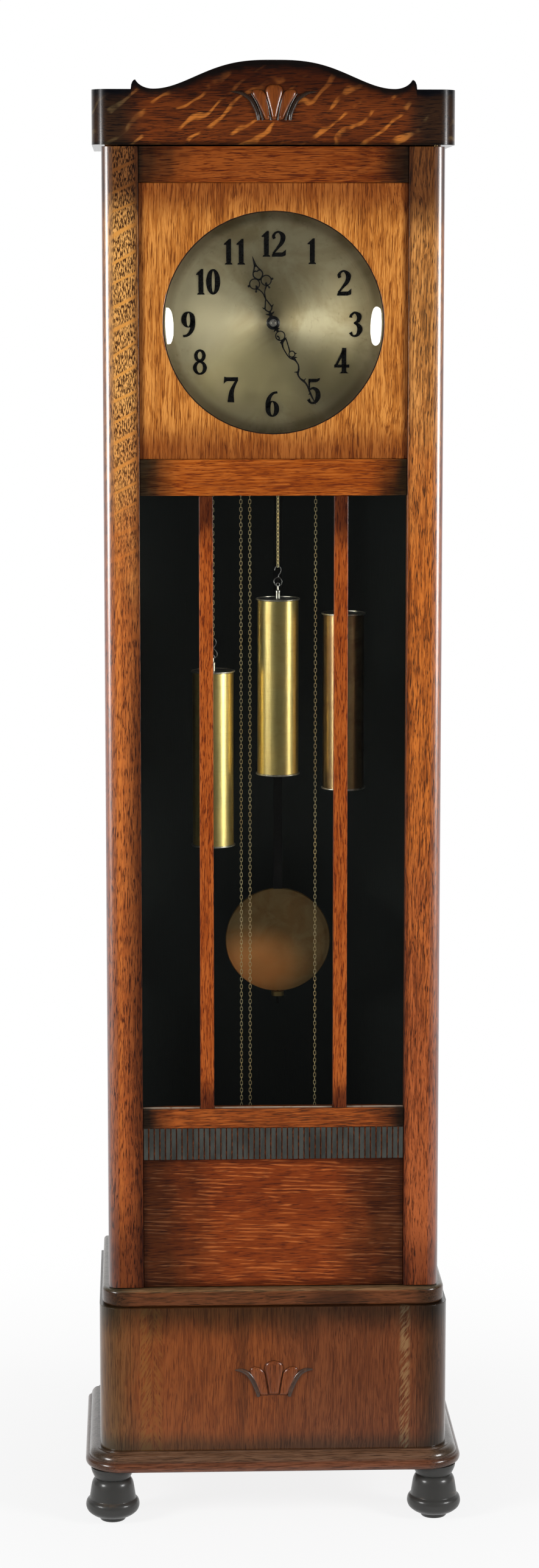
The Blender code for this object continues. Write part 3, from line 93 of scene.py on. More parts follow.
# Case
BASE_LOW, BASE_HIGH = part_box("base_board")
BASE_CORNER = 0.052
BASE_BEAD_RISE = 0.0125
BASE_BEAD_ROUND = 0.0062
BASE_BEAD_DRAW = 0.0042
BASE_STEP_DRAW = 0.0046
BASE_STEP_RISE = 0.0012
BASE_COVE_START = 0.0052
BASE_COVE_DRAW = 0.0155
BASE_COVE_POWER = 0.9
BASE_RIM_DRAW = 0.0004
BASE_HIDDEN_DRAW = 0.030
PLINTH_LOW, PLINTH_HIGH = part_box("plinth_side_right")
PLINTH_CORNER = 0.032
PLINTH_WALL = 0.018
CAP_LOW, CAP_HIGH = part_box("plinth_cap")
CAP_CORNER = 0.031
CAP_ROUND = 0.005
CAP_UNDER_ROUND = 0.8 * CAP_ROUND
CAP_HIDDEN_DRAW = 0.02
STILE_LOW, STILE_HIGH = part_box("door_stile_right")
STILE_NOSE = 0.5 * (STILE_HIGH.y - STILE_LOW.y)
STILE_NOSE_START = STILE_HIGH.x - STILE_NOSE
NOSE_FADE = 0.004
HOOD_LOW, HOOD_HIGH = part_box("hood_crest")
HOOD_SIDE_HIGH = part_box("hood_side_right")[1]
HOOD_CORNER = 0.023
HOOD_INNER_X = 0.2057
CREST_THICKNESS = 0.020
CREST_VALLEY_X = 0.157
CREST_VALLEY_Z = HOOD_SIDE_HIGH.z + 0.0005
CREST_FULLNESS = 1.42
HORN_TIP_X = 0.1803
HORN_TIP_Z = HOOD_SIDE_HIGH.z + 0.0122
HORN_OUTER_X = 0.1862
HORN_SWEEP = math.radians(70)
REED_LOW, REED_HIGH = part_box("door_reeded_strip")
REED_COUNT = 47
REED_CUT = 0.0014
REED_FLAT = 0.66
REED_CROWN = 0.0002
BEAD_SIZE = 0.0013

# Dial and hands
DIAL_LOW, DIAL_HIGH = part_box("dial_plate")
DIAL_CENTRE_Z = 0.5 * (DIAL_LOW.z + DIAL_HIGH.z)
DIAL_RADIUS = 0.5 * (DIAL_HIGH.x - DIAL_LOW.x)
DIAL_FRONT_Y = DIAL_LOW.y
DIAL_HOLE = 0.0035
DIAL_STEPS = 160
GLASS_LOW, GLASS_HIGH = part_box("dial_glass")
GLASS_RADIUS = 0.5 * (GLASS_HIGH.x - GLASS_LOW.x)
GLASS_THICKNESS = 0.0025
GLASS_FLATNESS = 4.0
# Dark ring round the dial glass, its seat and painted shadow in the gap: its radii, gap and depth
SEAT_INNER = 0.1446
SEAT_OUTER = 0.1459
SEAT_GAP = 0.0002
SEAT_DEPTH = 0.0012
NUMERAL_HEIGHT = 0.0335
NUMERAL_THICKNESS = 0.0006
NUMERAL_PITCH = 0.0165
NUMERAL_PLACES = {
    12: (-0.0007, 0.103), 1: (0.0515, 0.0934), 2: (0.0938, 0.0521), 3: (0.1093, -0.0020),
    4: (0.0910, -0.0498), 5: (0.0535, -0.0900), 6: (-0.0007, -0.1070), 7: (-0.0555, -0.0877),
    8: (-0.0965, -0.0515), 9: (-0.1117, -0.0020), 10: (-0.0870, 0.0535), 11: (-0.0504, 0.0927)}
MINUTE_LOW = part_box("minute_hand")[0]
HOUR_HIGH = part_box("hour_hand")[1]
HAND_THICKNESS = 0.0013
HOUR_HUB_RADIUS = 0.0086
MINUTE_HUB_RADIUS = 0.0090
MINUTE_HUB_DEPTH = 0.0028
MINUTE_HAND_ANGLE = math.radians(152.2)
HOUR_HAND_ANGLE = math.radians(342.5)
MINUTE_FRONT_Y = -0.10425
HOUR_FRONT_Y = -0.09975

# Movement and hanging parts
SIDES = ("left", "centre", "right")
SPROCKET_Z = 1.5855
CHAIN_Y = -0.03395
CHAIN_WRAP_RADIUS = 0.019
CHAIN_LAP = 0.0022
LINK_PITCH = 0.0052
LINK_WIDTH = 0.0043
LINK_WIRE = 0.00095
LINK_STEPS = 12
LINK_SIDES = 4
WEIGHT_RADIUS = 0.0300
WEIGHT_SHELL = 0.241
TUBE_RADIUS = 0.0280
RIM_HEIGHT = 0.0026
HOOK_WIRE = 0.0007
RING_WIRE = 0.0013
BOB_LOW, BOB_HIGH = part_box("pendulum_bob")
BOB_CENTRE = 0.5 * (BOB_LOW + BOB_HIGH)
BOB_RADIUS = 0.5 * (BOB_HIGH.x - BOB_LOW.x)
BOB_HALF = 0.5 * (BOB_HIGH.y - BOB_LOW.y)

# Carved ribbons as (x, height, half width)
CREST_RIBBONS = (
    [(0.0206, 0.0004, 0.0020), (0.0215, 0.0085, 0.0027), (0.0250, 0.0172, 0.0029), (0.0312, 0.0274, 0.0027),
     (0.0430, 0.0352, 0.0022), (0.0565, 0.0372, 0.0004)],
    [(0.0146, 0.0004, 0.0015), (0.0176, 0.0120, 0.0021), (0.0226, 0.0240, 0.0021), (0.0296, 0.0346, 0.0009)],
    [(0.0044, 0.0004, 0.0013), (0.0060, 0.0130, 0.0018), (0.0090, 0.0262, 0.0018), (0.0140, 0.0370, 0.0008)])
PLINTH_RIBBON = [(0.0212, 0.1770, 0.0022), (0.0228, 0.1860, 0.0036), (0.0278, 0.1985, 0.0040),
                 (0.0350, 0.2090, 0.0036), (0.0440, 0.2142, 0.0028), (0.0530, 0.2148, 0.0008)]

# Tones of each wood: dark, mid, light and ray fleck
GOLDEN = ((0.22, 0.058, 0.006), (0.48, 0.155, 0.021), (0.72, 0.29, 0.060), (0.66, 0.25, 0.050))
STILE_LEFT = ((0.130, 0.044, 0.010), (0.44, 0.185, 0.044), (0.76, 0.37, 0.100), (0.66, 0.29, 0.065))
STILE_RIGHT = ((0.13, 0.050, 0.012), (0.40, 0.148, 0.029), (0.73, 0.32, 0.082), (0.78, 0.36, 0.098))
CREST = ((0.036, 0.008, 0.002), (0.104, 0.021, 0.0036), (0.175, 0.038, 0.0062), (0.57, 0.178, 0.026))
CREST_PETAL = ((0.090, 0.020, 0.003), (0.170, 0.040, 0.006), (0.26, 0.068, 0.011), (0.28, 0.075, 0.013))
RAIL = ((0.080, 0.011, 0.001), (0.175, 0.031, 0.002), (0.31, 0.075, 0.010), (0.36, 0.100, 0.018))
MIDDLE_RAIL = ((0.140, 0.020, 0.001), (0.310, 0.062, 0.003), (0.47, 0.122, 0.015), (0.52, 0.145, 0.022))
LOWER_RAIL = ((0.080, 0.019, 0.004), (0.200, 0.039, 0.005), (0.36, 0.084, 0.012), (0.52, 0.14, 0.024))
RED = ((0.090, 0.013, 0.002), (0.190, 0.031, 0.003), (0.28, 0.054, 0.007), (0.48, 0.125, 0.024))
BAR = ((0.120, 0.016, 0.001), (0.290, 0.051, 0.004), (0.44, 0.105, 0.016), (0.42, 0.10, 0.016))
PLINTH = ((0.115, 0.027, 0.006), (0.190, 0.047, 0.010), (0.26, 0.070, 0.016), (0.30, 0.10, 0.028))
PLINTH_PETAL = ((0.080, 0.021, 0.006), (0.185, 0.048, 0.014), (0.30, 0.092, 0.030), (0.32, 0.11, 0.036))
CAP = ((0.050, 0.018, 0.006), (0.100, 0.032, 0.010), (0.16, 0.050, 0.017), (0.19, 0.066, 0.026))
BASE = ((0.072, 0.024, 0.011), (0.142, 0.047, 0.021), (0.21, 0.077, 0.038), (0.23, 0.09, 0.050))

# Tones of each dark finish: its base and what shows where it is worn
EBONY = ((0.045, 0.044, 0.041), (0.090, 0.066, 0.047))
INSIDE = ((0.010, 0.010, 0.010), (0.018, 0.015, 0.012))
CREST_DARK = ((0.030, 0.017, 0.011), (0.085, 0.040, 0.020))
PLINTH_DARK = ((0.060, 0.034, 0.024), (0.12, 0.060, 0.036))
# Pale glazing bead: partly putty, partly a painted highlight along each pane's foot
BEAD_PUTTY_AND_HIGHLIGHT = ((0.36, 0.29, 0.22), (0.22, 0.13, 0.08))
NUMERAL_BLACK = ((0.003, 0.003, 0.003), (0.006, 0.006, 0.005))
# Dark ring round the dial glass: its seat and painted shadow in the gap
GAP_SHADOW_AND_SEAT = ((0.020, 0.010, 0.006), (0.060, 0.024, 0.012))
HAND_BLACK = ((0.006, 0.006, 0.007), (0.016, 0.014, 0.012))
REED_FACE = ((0.034, 0.036, 0.032, 1), (0.058, 0.062, 0.054, 1))
REED_GROOVE = ((0.060, 0.022, 0.012, 1), (0.22, 0.060, 0.020, 1))

# Tones of each brass: bright, cloudy and dark
# Dark brass of the door pivots, which sit in gaps at the door's ends: painted shade
PIVOT_PAINTED_SHADE_BRASS = ((0.16, 0.11, 0.05), (0.11, 0.07, 0.03), (0.05, 0.03, 0.015))
DIAL_BRASS = ((0.52, 0.465, 0.30), (0.335, 0.28, 0.158), (0.15, 0.115, 0.055))
WEIGHT_BRASS = ((0.83, 0.66, 0.25), (0.76, 0.57, 0.20), (0.55, 0.35, 0.12))
# A darker copy of the weight brass for the right weight: painted shade
WEIGHT_PAINTED_SHADE_BRASS = ((0.30, 0.20, 0.09), (0.22, 0.13, 0.06), (0.10, 0.05, 0.025))
CHAIN_BRASS = ((1.0, 0.86, 0.50), (0.95, 0.74, 0.36), (0.40, 0.24, 0.09))
BOB_BRASS = ((0.32, 0.215, 0.097), (0.29, 0.170, 0.066), (0.13, 0.085, 0.04))
PLATE_BRASS = ((0.56, 0.42, 0.16), (0.44, 0.31, 0.10), (0.15, 0.09, 0.03))

# Painted light on a brass: patches of painted reflection, lighter and darker, as centre, half size and tone
DIAL_PAINTED_LIGHT = [((-0.030, DIAL_FRONT_Y, DIAL_CENTRE_Z - 0.070), (0.090, 0.1, 0.060), (0.63, 0.55, 0.30)),
              ((-0.092, DIAL_FRONT_Y, DIAL_CENTRE_Z + 0.004), (0.050, 0.1, 0.060), (0.37, 0.33, 0.21)),
              ((0.082, DIAL_FRONT_Y, DIAL_CENTRE_Z - 0.066), (0.055, 0.1, 0.055), (0.235, 0.20, 0.108))]
# Painted shade towards the dial's rim: where it starts and where it is full, as shares of the radius, and its
# tone
DIAL_RIM_PAINTED_SHADE = (0.85, 0.93, (0.30, 0.27, 0.22))
BOB_PAINTED_REFLECTION = ((BOB_CENTRE.x - 0.034, BOB_LOW.y, BOB_CENTRE.z - 0.038), (0.066, 0.1, 0.052), (1.0, 0.46, 0.15))
PAINTED_LIGHT_STRENGTH = 0.95

# Tones of each steel: bright and dark
PIN_STEEL = ((0.62, 0.61, 0.58), (0.34, 0.33, 0.31))
NICKEL = ((0.70, 0.67, 0.58), (0.42, 0.38, 0.30))
HOOK_STEEL = ((0.34, 0.33, 0.31), (0.14, 0.135, 0.13))
MOVEMENT_STEEL = ((0.46, 0.45, 0.43), (0.22, 0.21, 0.20))

# Other finishes
WHITE = (1, 1, 1, 1)
STAIN_BLACK = (0.014, 0.008, 0.005, 1)
INSIDE_BLACK = (0.040, 0.045, 0.042, 1)
PANE_TONE = (0.94, 0.96, 0.95)
DOME_TONE = (0.95, 0.95, 0.93)
VARNISH = 0.65
VARNISH_ROUGHNESS = 0.16
COAT_ROUGHNESS = 0.2
WOOD_SPECULAR = 0.2
NOSE_ROUGHNESS = 0.36
NOSE_IOR = 2.3
GLASS_IOR = 1.46

# Grain: how far it turns from level, and its marks to the metre along and across it
LEVEL_GRAIN = 1.0
UPRIGHT_GRAIN = 89.0
GRAIN_SWAY = (6.0, 18.0, 18.0)
GRAIN_SWAY_REACH = 0.012
GRAIN_BANDS = (2.4, 30.0, 30.0)
GRAIN_STREAKS = (20.0, 460.0, 460.0)
LONG_DASH = (44.0, 1050.0, 1050.0)
FINE_DASH = (70.0, 900.0, 900.0)
SMOOTH_DASH = (36.0, 1200.0, 1200.0)
WAVE_UNIT = 2 * math.pi / 20

# Ray bands: rise in degrees, spacing, length, bend, threshold and strength
PLAIN_RAYS = (80, 0.020, 0.060, 3.0, 0.70, 0.15)
STILE_LEFT_RAYS = (24, 0.026, 0.080, 2.2, 0.60, 0.70)
STILE_RIGHT_RAYS = (82, 0.009, 0.040, 3.5, 0.55, 0.35)
CREST_RAYS = (38, 0.023, 0.040, 5.2, 0.80, 0.90)
RAIL_RAYS = (2, 0.0050, 0.040, 3.0, 0.55, 0.40)
LOWER_RAYS = (-2, 0.0056, 0.045, 4.2, 0.66, 0.95)

# Left stile's cut rays: the strip's two X and foot, rise in degrees, spacing, stroke, ground and band tones
STILE_LEFT_CUT = (-0.2165, -0.1790, 1.22, 26, 0.027,
                  ((0.075, 0.024, 0.005), (0.86, 0.42, 0.112), (0.72, 0.31, 0.058)))

# Strips of slanting flecks: two X, rise in degrees and tone
STILE_LEFT_FLECKS = [(-0.2125, -0.2005, 86, (0.84, 0.43, 0.105))]
PLINTH_FLECKS = [(0.1700, 0.1885, 58, (0.36, 0.170, 0.050)), (-0.1860, -0.1640, 62, (0.25, 0.085, 0.018)),
                 (-0.1680, -0.1500, -62, (0.24, 0.076, 0.015))]
FLECK_EDGE = 0.006

# Stained patches: centre, half size and strength
STILE_LEFT_STAIN = ((-0.183, STILE_LOW.y, 0.86), (0.017, 0.2, 0.56), 0.50)
PLINTH_STAIN = ((-0.042, PLINTH_LOW.y, 0.21), (0.010, 0.1, 0.11), 0.35)
CAP_STAIN = ((0.085, CAP_LOW.y, CAP_LOW.z + 0.01), (0.045, 0.1, 0.014), 0.6)

# Shades, of age and of painted light: the axis, where each starts, where it is full, and its tone
TRUNK_SHADES = [("Z", 1.62, 1.30, (0.82, 0.52, 0.28)), ("Z", 1.15, 0.60, (0.71, 0.62, 1.05))]
# The left stile's first shade, at its top, is painted shadow under the hood
STILE_LEFT_SHADES = [("Z", 1.756, 1.815, (0.24, 0.18, 0.17)), ("Z", 1.62, 1.20, (0.80, 0.47, 0.34)),
                     ("Z", 1.15, 0.60, (0.71, 0.62, 0.60)), ("Z", 0.50, 0.360, (0.40, 0.36, 0.38)),
                     ("X", -0.1920, -0.1785, (0.46, 0.40, 0.38)), ("X", -0.2185, -0.2235, (0.45, 0.30, 0.28))]
# The right stile's first shade, at its top, is painted shadow under the hood
STILE_RIGHT_SHADES = [("Z", 1.725, 1.815, (0.22, 0.17, 0.16)), *TRUNK_SHADES,
                      ("Z", 0.44, 0.335, (0.50, 0.45, 0.45)), ("X", 0.1850, 0.1785, (0.50, 0.44, 0.42)),
                      ("X", 0.2185, 0.2235, (0.45, 0.30, 0.28))]
PLINTH_SHADES = [("Z", 0.250, 0.300, (0.30, 0.42, 0.55)), ("Z", 0.132, 0.106, (0.45, 0.62, 0.80)),
                 ("X", -0.165, -0.222, (0.62, 1.05, 1.5)), ("X", 0.180, 0.222, (0.42, 0.62, 0.80)),
                 ("X", -0.030, 0.060, (0.74, 0.80, 1.10))]
# The crest's second shade darkens its foot: painted shade along the lower edge
CREST_SHADES = [("Z", HOOD_LOW.z + 0.034, HOOD_LOW.z + 0.084, (0.34, 0.31, 0.40)),
                ("Z", HOOD_LOW.z + 0.006, HOOD_LOW.z + 0.001, (0.30, 0.35, 0.40))]
CREST_STAIN_BAND = (0.82, 0.96)


# Shapes

def ease_through(points, steps=8):
    """A smooth curve through the points: on each span the cubic that leaves and arrives along its
    neighbours' chord."""
    points = np.asarray(points, float)
    padded = np.concatenate([points[:1], points, points[-1:]])
    p0, p1, p2, p3 = padded[:-3, None], padded[1:-2, None], padded[2:-1, None], padded[3:, None]
    t = np.linspace(0, 1, steps, endpoint=False)[None, :, None]
    curve = 0.5 * (2 * p1 + (p2 - p0) * t + (2 * p0 - 5 * p1 + 4 * p2 - p3) * t ** 2
                   + (3 * p1 - p0 - 3 * p2 + p3) * t ** 3)
    return np.concatenate([curve.reshape(-1, points.shape[1]), points[-1:]])


def loft(sections, closed=False):
    """Skin over sections of equal length: quads join each closed section to the next, flat caps shut
    the ends."""
    sections = np.asarray(sections, float)
    rows, columns = sections.shape[:2]
    row = np.arange(rows if closed else rows - 1)[:, None]
    column = np.arange(columns)[None, :]
    next_row, next_column = (row + 1) % rows, (column + 1) % columns
    quads = np.stack([row * columns + column, row * columns + next_column,
                      next_row * columns + next_column, next_row * columns + column], axis=-1)
    faces = [quads.reshape(-1, 4)]
    if not closed:
        start = np.arange(columns)[None, :]
        faces += [start[:, ::-1], start + (rows - 1) * columns]
    return sections.reshape(-1, 3), faces


def turned(profile, centre, axis="Z", steps=64):
    """Turning: each (radius, height) of the profile is a circle round the axis through the centre."""
    profile = np.asarray(profile, float)
    angle = np.linspace(0, 2 * np.pi, steps, endpoint=False)[None, :]
    radius, height = profile[:, :1], profile[:, 1:2] + 0 * angle
    across, along = radius * np.sin(angle), radius * np.cos(angle)
    order = (across, along, height) if axis == "Z" else (across, height, along)
    return loft(np.stack(order, axis=-1) + np.asarray(centre, float))


def ring_turned(profile, centre, axis, steps):
    """Turning whose profile is a closed ring, so that a hole runs through the middle."""
    points, faces = turned(profile, centre, axis, steps)
    last = (len(profile) - 1) * steps
    column = np.arange(steps)
    after = (column + 1) % steps
    shut = np.stack([last + column, last + after, after, column], axis=-1)
    return points, [faces[0], shut]


def flat_band(edge_a, edge_b, front, back, closed=False):
    """A plate between two edge lines in the XZ plane, from the front Y to the back Y."""
    edge_a, edge_b = np.asarray(edge_a, float), np.asarray(edge_b, float)
    level = np.ones(len(edge_a))
    corner = [np.stack([edge[:, 0], y * level, edge[:, 1]], axis=-1)
              for edge, y in ((edge_a, front), (edge_b, front), (edge_b, back), (edge_a, back))]
    return loft(np.stack(corner, axis=1), closed)


def square_off(path, closed=False):
    """Unit vectors a quarter turn from a plane path's own direction."""
    if closed:
        ahead = np.roll(path, -1, axis=0) - np.roll(path, 1, axis=0)
    else:
        ahead = np.gradient(path, axis=0)
    ahead /= np.linalg.norm(ahead, axis=1, keepdims=True)
    return np.stack([-ahead[:, 1], ahead[:, 0]], axis=-1)


def stroke(path, half_width, closed=False):
    """The two edges of a pen stroke: its path moved half its width to either side."""
    path = np.asarray(path, float)
    offset = square_off(path, closed) * np.broadcast_to(np.asarray(half_width, float), len(path))[:, None]
    return path + offset, path - offset


def pen(points, half_widths, steps=8):
    """The edges of a smooth stroke through the points, whose half width changes smoothly from point
    to point."""
    line = ease_through(np.column_stack([points, half_widths]), steps)
    return stroke(line[:, :2], np.maximum(line[:, 2], PEN_LEAST))


def oval(centre, half_width, half_height, steps=40):
    """Points round an ellipse in the plane."""
    angle = np.linspace(0, 2 * np.pi, steps, endpoint=False)
    return np.stack([centre[0] + half_width * np.sin(angle),
                     centre[1] + half_height * np.cos(angle)], axis=-1)


def wire(path, radius, y, sides=8, closed=False):
    """Round wire along a path in the XZ plane at depth y: a circle square to the path at each point."""
    path = np.asarray(path, float)
    normal = square_off(path, closed)
    turn = np.linspace(0, 2 * np.pi, sides, endpoint=False)[None, :]
    radius = np.broadcast_to(np.asarray(radius, float), len(path))[:, None]
    x = path[:, :1] + radius * np.cos(turn) * normal[:, :1]
    z = path[:, 1:] + radius * np.cos(turn) * normal[:, 1:]
    return loft(np.stack([x, y + radius * np.sin(turn), z], axis=-1), closed)


def front_plan(half, front, back, corner, draw=0.0):
    """A board's plan with two quarter-round front corners, its front and sides drawn in by draw."""
    turn = np.linspace(0, np.pi / 2, CORNER_STEPS + 1)
    radius = corner - draw
    x = half - corner + radius * np.cos(turn)
    y = front + corner - radius * np.sin(turn)
    right = np.concatenate([[[half - draw, back]], np.stack([x, y], axis=-1)])
    left = right[::-1] * (-1, 1)
    return np.concatenate([right, left])


def moulded(profile, half, front, back, corner):
    """A moulding: the front plan stacked up the profile of (draw in, height)."""
    levels = [np.column_stack([plan, np.full(len(plan), height)])
              for plan, height in ((front_plan(half, front, back, corner, draw), z) for draw, z in profile)]
    return loft(levels)


def wall(outer, inner, low, high):
    """A standing wall between two plan lines, its low and high edges given at each point of the plan."""
    low, high = np.broadcast_to(low, len(outer)), np.broadcast_to(high, len(outer))
    corner = [np.column_stack([line, level])
              for line, level in ((outer, low), (outer, high), (inner, high), (inner, low))]
    return loft(np.stack(corner, axis=1))


def tilt(shell, angle, centre):
    """Turns a shell clockwise, seen from the front, about the centre (x, z)."""
    points, faces = shell
    x, z = points[:, 0], points[:, 2]
    turned_x = centre[0] + x * math.cos(angle) + z * math.sin(angle)
    turned_z = centre[1] - x * math.sin(angle) + z * math.cos(angle)
    return np.column_stack([turned_x, points[:, 1], turned_z]), faces


def place(name, shells, material, body, stands_for=(), crease=35.0, ease=0.0):
    """One finished piece: joins the shells, merges doubles, turns faces outwards and sets it on its body."""
    points = np.concatenate([shell[0] for shell in shells])
    faces = []
    start = 0
    for shell_points, face_sets in shells:
        for face_set in face_sets:
            faces.extend((face_set + start).tolist())
        start += len(shell_points)
    mesh = bpy.data.meshes.new(name)
    mesh.from_pydata(points.tolist(), [], faces)
    work = bmesh.new()
    work.from_mesh(mesh)
    bmesh.ops.remove_doubles(work, verts=work.verts, dist=MERGE_DISTANCE)
    bmesh.ops.recalc_face_normals(work, faces=work.faces)
    work.to_mesh(mesh)
    work.free()
    mesh.shade_smooth()
    mesh.set_sharp_from_angle(angle=math.radians(crease))
    piece = bpy.data.objects.new(name, mesh)
    bpy.context.scene.collection.objects.link(piece)
    mesh.materials.append(material)
    if ease:
        soften(piece, ease)
    if body:
        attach(piece, body)
    if stands_for:
        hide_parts(*stands_for)
    return piece


def soften(piece, width):
    """Breaks the sharp edges of a piece with a small rounded bevel."""
    bevel = piece.modifiers.new("broken_edges", "BEVEL")
    bevel.width = width
    bevel.segments = BEVEL_STEPS
    bevel.limit_method = "ANGLE"
    bevel.angle_limit = BEVEL_ANGLE


def finish_node(name, material, width=0.0):
    """Gives a node of the frame its finish and, where asked, broken edges."""
    node = NODES[name]
    node.data.materials.clear()
    node.data.materials.append(material)
    if width:
        weld = node.modifiers.new("joined_faces", "WELD")
        weld.merge_threshold = WELD_DISTANCE
        soften(node, width)


def unroll(piece, along, around):
    """Gives a turned piece a map of its own: U along the profile, V round the axis."""
    mesh = piece.data
    points = np.empty(len(mesh.vertices) * 3)
    mesh.vertices.foreach_get("co", points)
    points = points.reshape(-1, 3)
    corners = np.empty(len(mesh.loops), dtype=np.int64)
    mesh.loops.foreach_get("vertex_index", corners)
    flat = np.stack([along(points), around(points)], axis=-1)[corners]
    mesh.uv_layers.new(name="turning").data.foreach_set("uv", flat.ravel())


# Shader helpers

def fill(tree, node, inputs):
    """Fills a node's inputs with plain values or with links."""
    for key, value in inputs.items():
        if isinstance(value, bpy.types.NodeSocket):
            tree.links.new(value, node.inputs[key])
        else:
            node.inputs[key].default_value = value


def add(tree, kind, inputs=None, **settings):
    """Adds a node, sets it up and fills its inputs."""
    made = tree.nodes.new(kind)
    for key, value in settings.items():
        setattr(made, key, value)
    fill(tree, made, inputs or {})
    return made


def group(tree, source, inputs):
    """Places a node group with its inputs and gives its outputs."""
    return add(tree, "ShaderNodeGroup", inputs, node_tree=source).outputs


def apart(tree, vector):
    """The X, Y and Z of a vector, as three values."""
    return add(tree, "ShaderNodeSeparateXYZ", {0: vector}).outputs


def vector_sums(tree, operation, first, second):
    """One sum of two vectors."""
    return add(tree, "ShaderNodeVectorMath", {0: first, 1: second}, operation=operation).outputs[0]


def distance(tree, vector):
    """The length of a vector."""
    return add(tree, "ShaderNodeVectorMath", {0: vector}, operation="LENGTH").outputs["Value"]


def slanted(tree, place_at, degrees, shift=0.0):
    """The place turned about Y by the degrees, then moved by the shift along every axis."""
    return add(tree, "ShaderNodeMapping", {
        "Vector": place_at, "Location": (shift, shift, shift),
        "Rotation": (0, math.radians(degrees), 0)}).outputs[0]


def noise(tree, vector, stretch, detail=2.0, roughness=0.5, distortion=0.0):
    """Noise on a vector scaled by the stretch along each axis, as a value from 0 to 1."""
    return add(tree, "ShaderNodeTexNoise", {
        "Vector": vector_sums(tree, "MULTIPLY", vector, stretch), "Scale": 1.0, "Detail": detail,
        "Roughness": roughness, "Distortion": distortion}).outputs[0]


def waves(tree, vector, bend, detail_scale):
    """Bands across the vector's Z, one to the unit, bent by noise, as a value from 0 to 1."""
    return add(tree, "ShaderNodeTexWave", {
        "Vector": vector, "Scale": WAVE_UNIT, "Distortion": bend, "Detail": 1.5, "Detail Scale": detail_scale,
        "Detail Roughness": 0.5}, wave_type="BANDS", bands_direction="Z", wave_profile="SIN").outputs["Fac"]


def between(tree, value, low, high, to_low=0.0, to_high=1.0):
    """Smooth step of a value from low to high."""
    return add(tree, "ShaderNodeMapRange", {
        "Value": value, "From Min": low, "From Max": high, "To Min": to_low, "To Max": to_high},
        interpolation_type="SMOOTHSTEP").outputs[0]


def sums(tree, operation, first, second):
    """One sum of two values."""
    return add(tree, "ShaderNodeMath", {0: first, 1: second}, operation=operation).outputs[0]


def tint(tree, factor, first, second, blend="MIX"):
    """Mixes two colours."""
    return add(tree, "ShaderNodeMix", {0: factor, 6: first, 7: second},
               data_type="RGBA", blend_type=blend).outputs[2]


def darken(tree, colour, share, tone):
    """Multiplies a colour by a tone, as far as the share says."""
    return tint(tree, 1.0, colour, tint(tree, share, WHITE, tone), "MULTIPLY")


# Effects that several finishes share

SOCKET_KINDS = {"value": "NodeSocketFloat", "colour": "NodeSocketColor", "vector": "NodeSocketVector"}
SURFACE = {"Colour": "colour", "Roughness": "value", "Height": "value"}


def new_group(name, takes, gives):
    """An empty node group with named sockets of the given kinds: its tree, what it takes, its output node."""
    tree = bpy.data.node_groups.new(name, "ShaderNodeTree")
    for direction, sockets in (("INPUT", takes), ("OUTPUT", gives)):
        for socket, kind in sockets.items():
            tree.interface.new_socket(socket, in_out=direction, socket_type=SOCKET_KINDS[kind])
    return tree, tree.nodes.new("NodeGroupInput").outputs, tree.nodes.new("NodeGroupOutput")


def oak_figure():
    """Oak: dark dashes and streaks along a swaying grain over broad bands, wavy ray bands across,
    stain over all."""
    tree, take, give = new_group("oak_figure", {
        "Grain": "vector", "Dash Scale": "vector", "Dash Share": "value", "Contrast": "value",
        "Ray": "vector", "Ray Scale": "vector", "Ray Bend": "value", "Ray Edge": "value",
        "Ray Share": "value", "Dark": "colour", "Mid": "colour", "Light": "colour", "Ray Colour": "colour",
        "Stain": "value", "Stain Colour": "colour"}, SURFACE)
    sway = sums(tree, "SUBTRACT", noise(tree, take["Grain"], GRAIN_SWAY), 0.5)
    aside = sums(tree, "MULTIPLY", sway, GRAIN_SWAY_REACH)
    shift = add(tree, "ShaderNodeCombineXYZ", {1: aside, 2: aside}).outputs[0]
    grain = vector_sums(tree, "ADD", take["Grain"], shift)
    bands = noise(tree, grain, GRAIN_BANDS)
    streaks = noise(tree, grain, GRAIN_STREAKS, 3.0, 0.65)
    dashes = noise(tree, grain, take["Dash Scale"], 2.0, 0.55)
    drift = sums(tree, "ADD", sums(tree, "MULTIPLY", bands, 0.5), sums(tree, "MULTIPLY", streaks, 0.9))
    strokes = between(tree, dashes, 0.34, 0.50)
    cuts = sums(tree, "MULTIPLY", sums(tree, "SUBTRACT", strokes, 0.7), take["Dash Share"])
    tone = sums(tree, "ADD", sums(tree, "SUBTRACT", drift, 0.70), cuts)
    level = sums(tree, "ADD", sums(tree, "MULTIPLY", tone, take["Contrast"]), 0.5)
    body = tint(tree, between(tree, level, 0.0, 0.5), take["Dark"], take["Mid"])
    body = tint(tree, between(tree, level, 0.5, 1.0), body, take["Light"])
    across = vector_sums(tree, "MULTIPLY", take["Ray"], take["Ray Scale"])
    ray = between(tree, waves(tree, across, take["Ray Bend"], 2.6), take["Ray Edge"], 1.0)
    breaks = between(tree, noise(tree, across, (1.2, 0.45, 0.45)), 0.44, 0.58)
    for share in (breaks, between(tree, strokes, 0.0, 1.0, 0.30, 1.0), take["Ray Share"]):
        ray = sums(tree, "MULTIPLY", ray, share)
    body = tint(tree, ray, body, take["Ray Colour"])
    fill(tree, give, {"Colour": tint(tree, take["Stain"], body, take["Stain Colour"]),
                      "Roughness": between(tree, level, 0.0, 1.0, 0.42, 0.30), "Height": tone})
    return tree


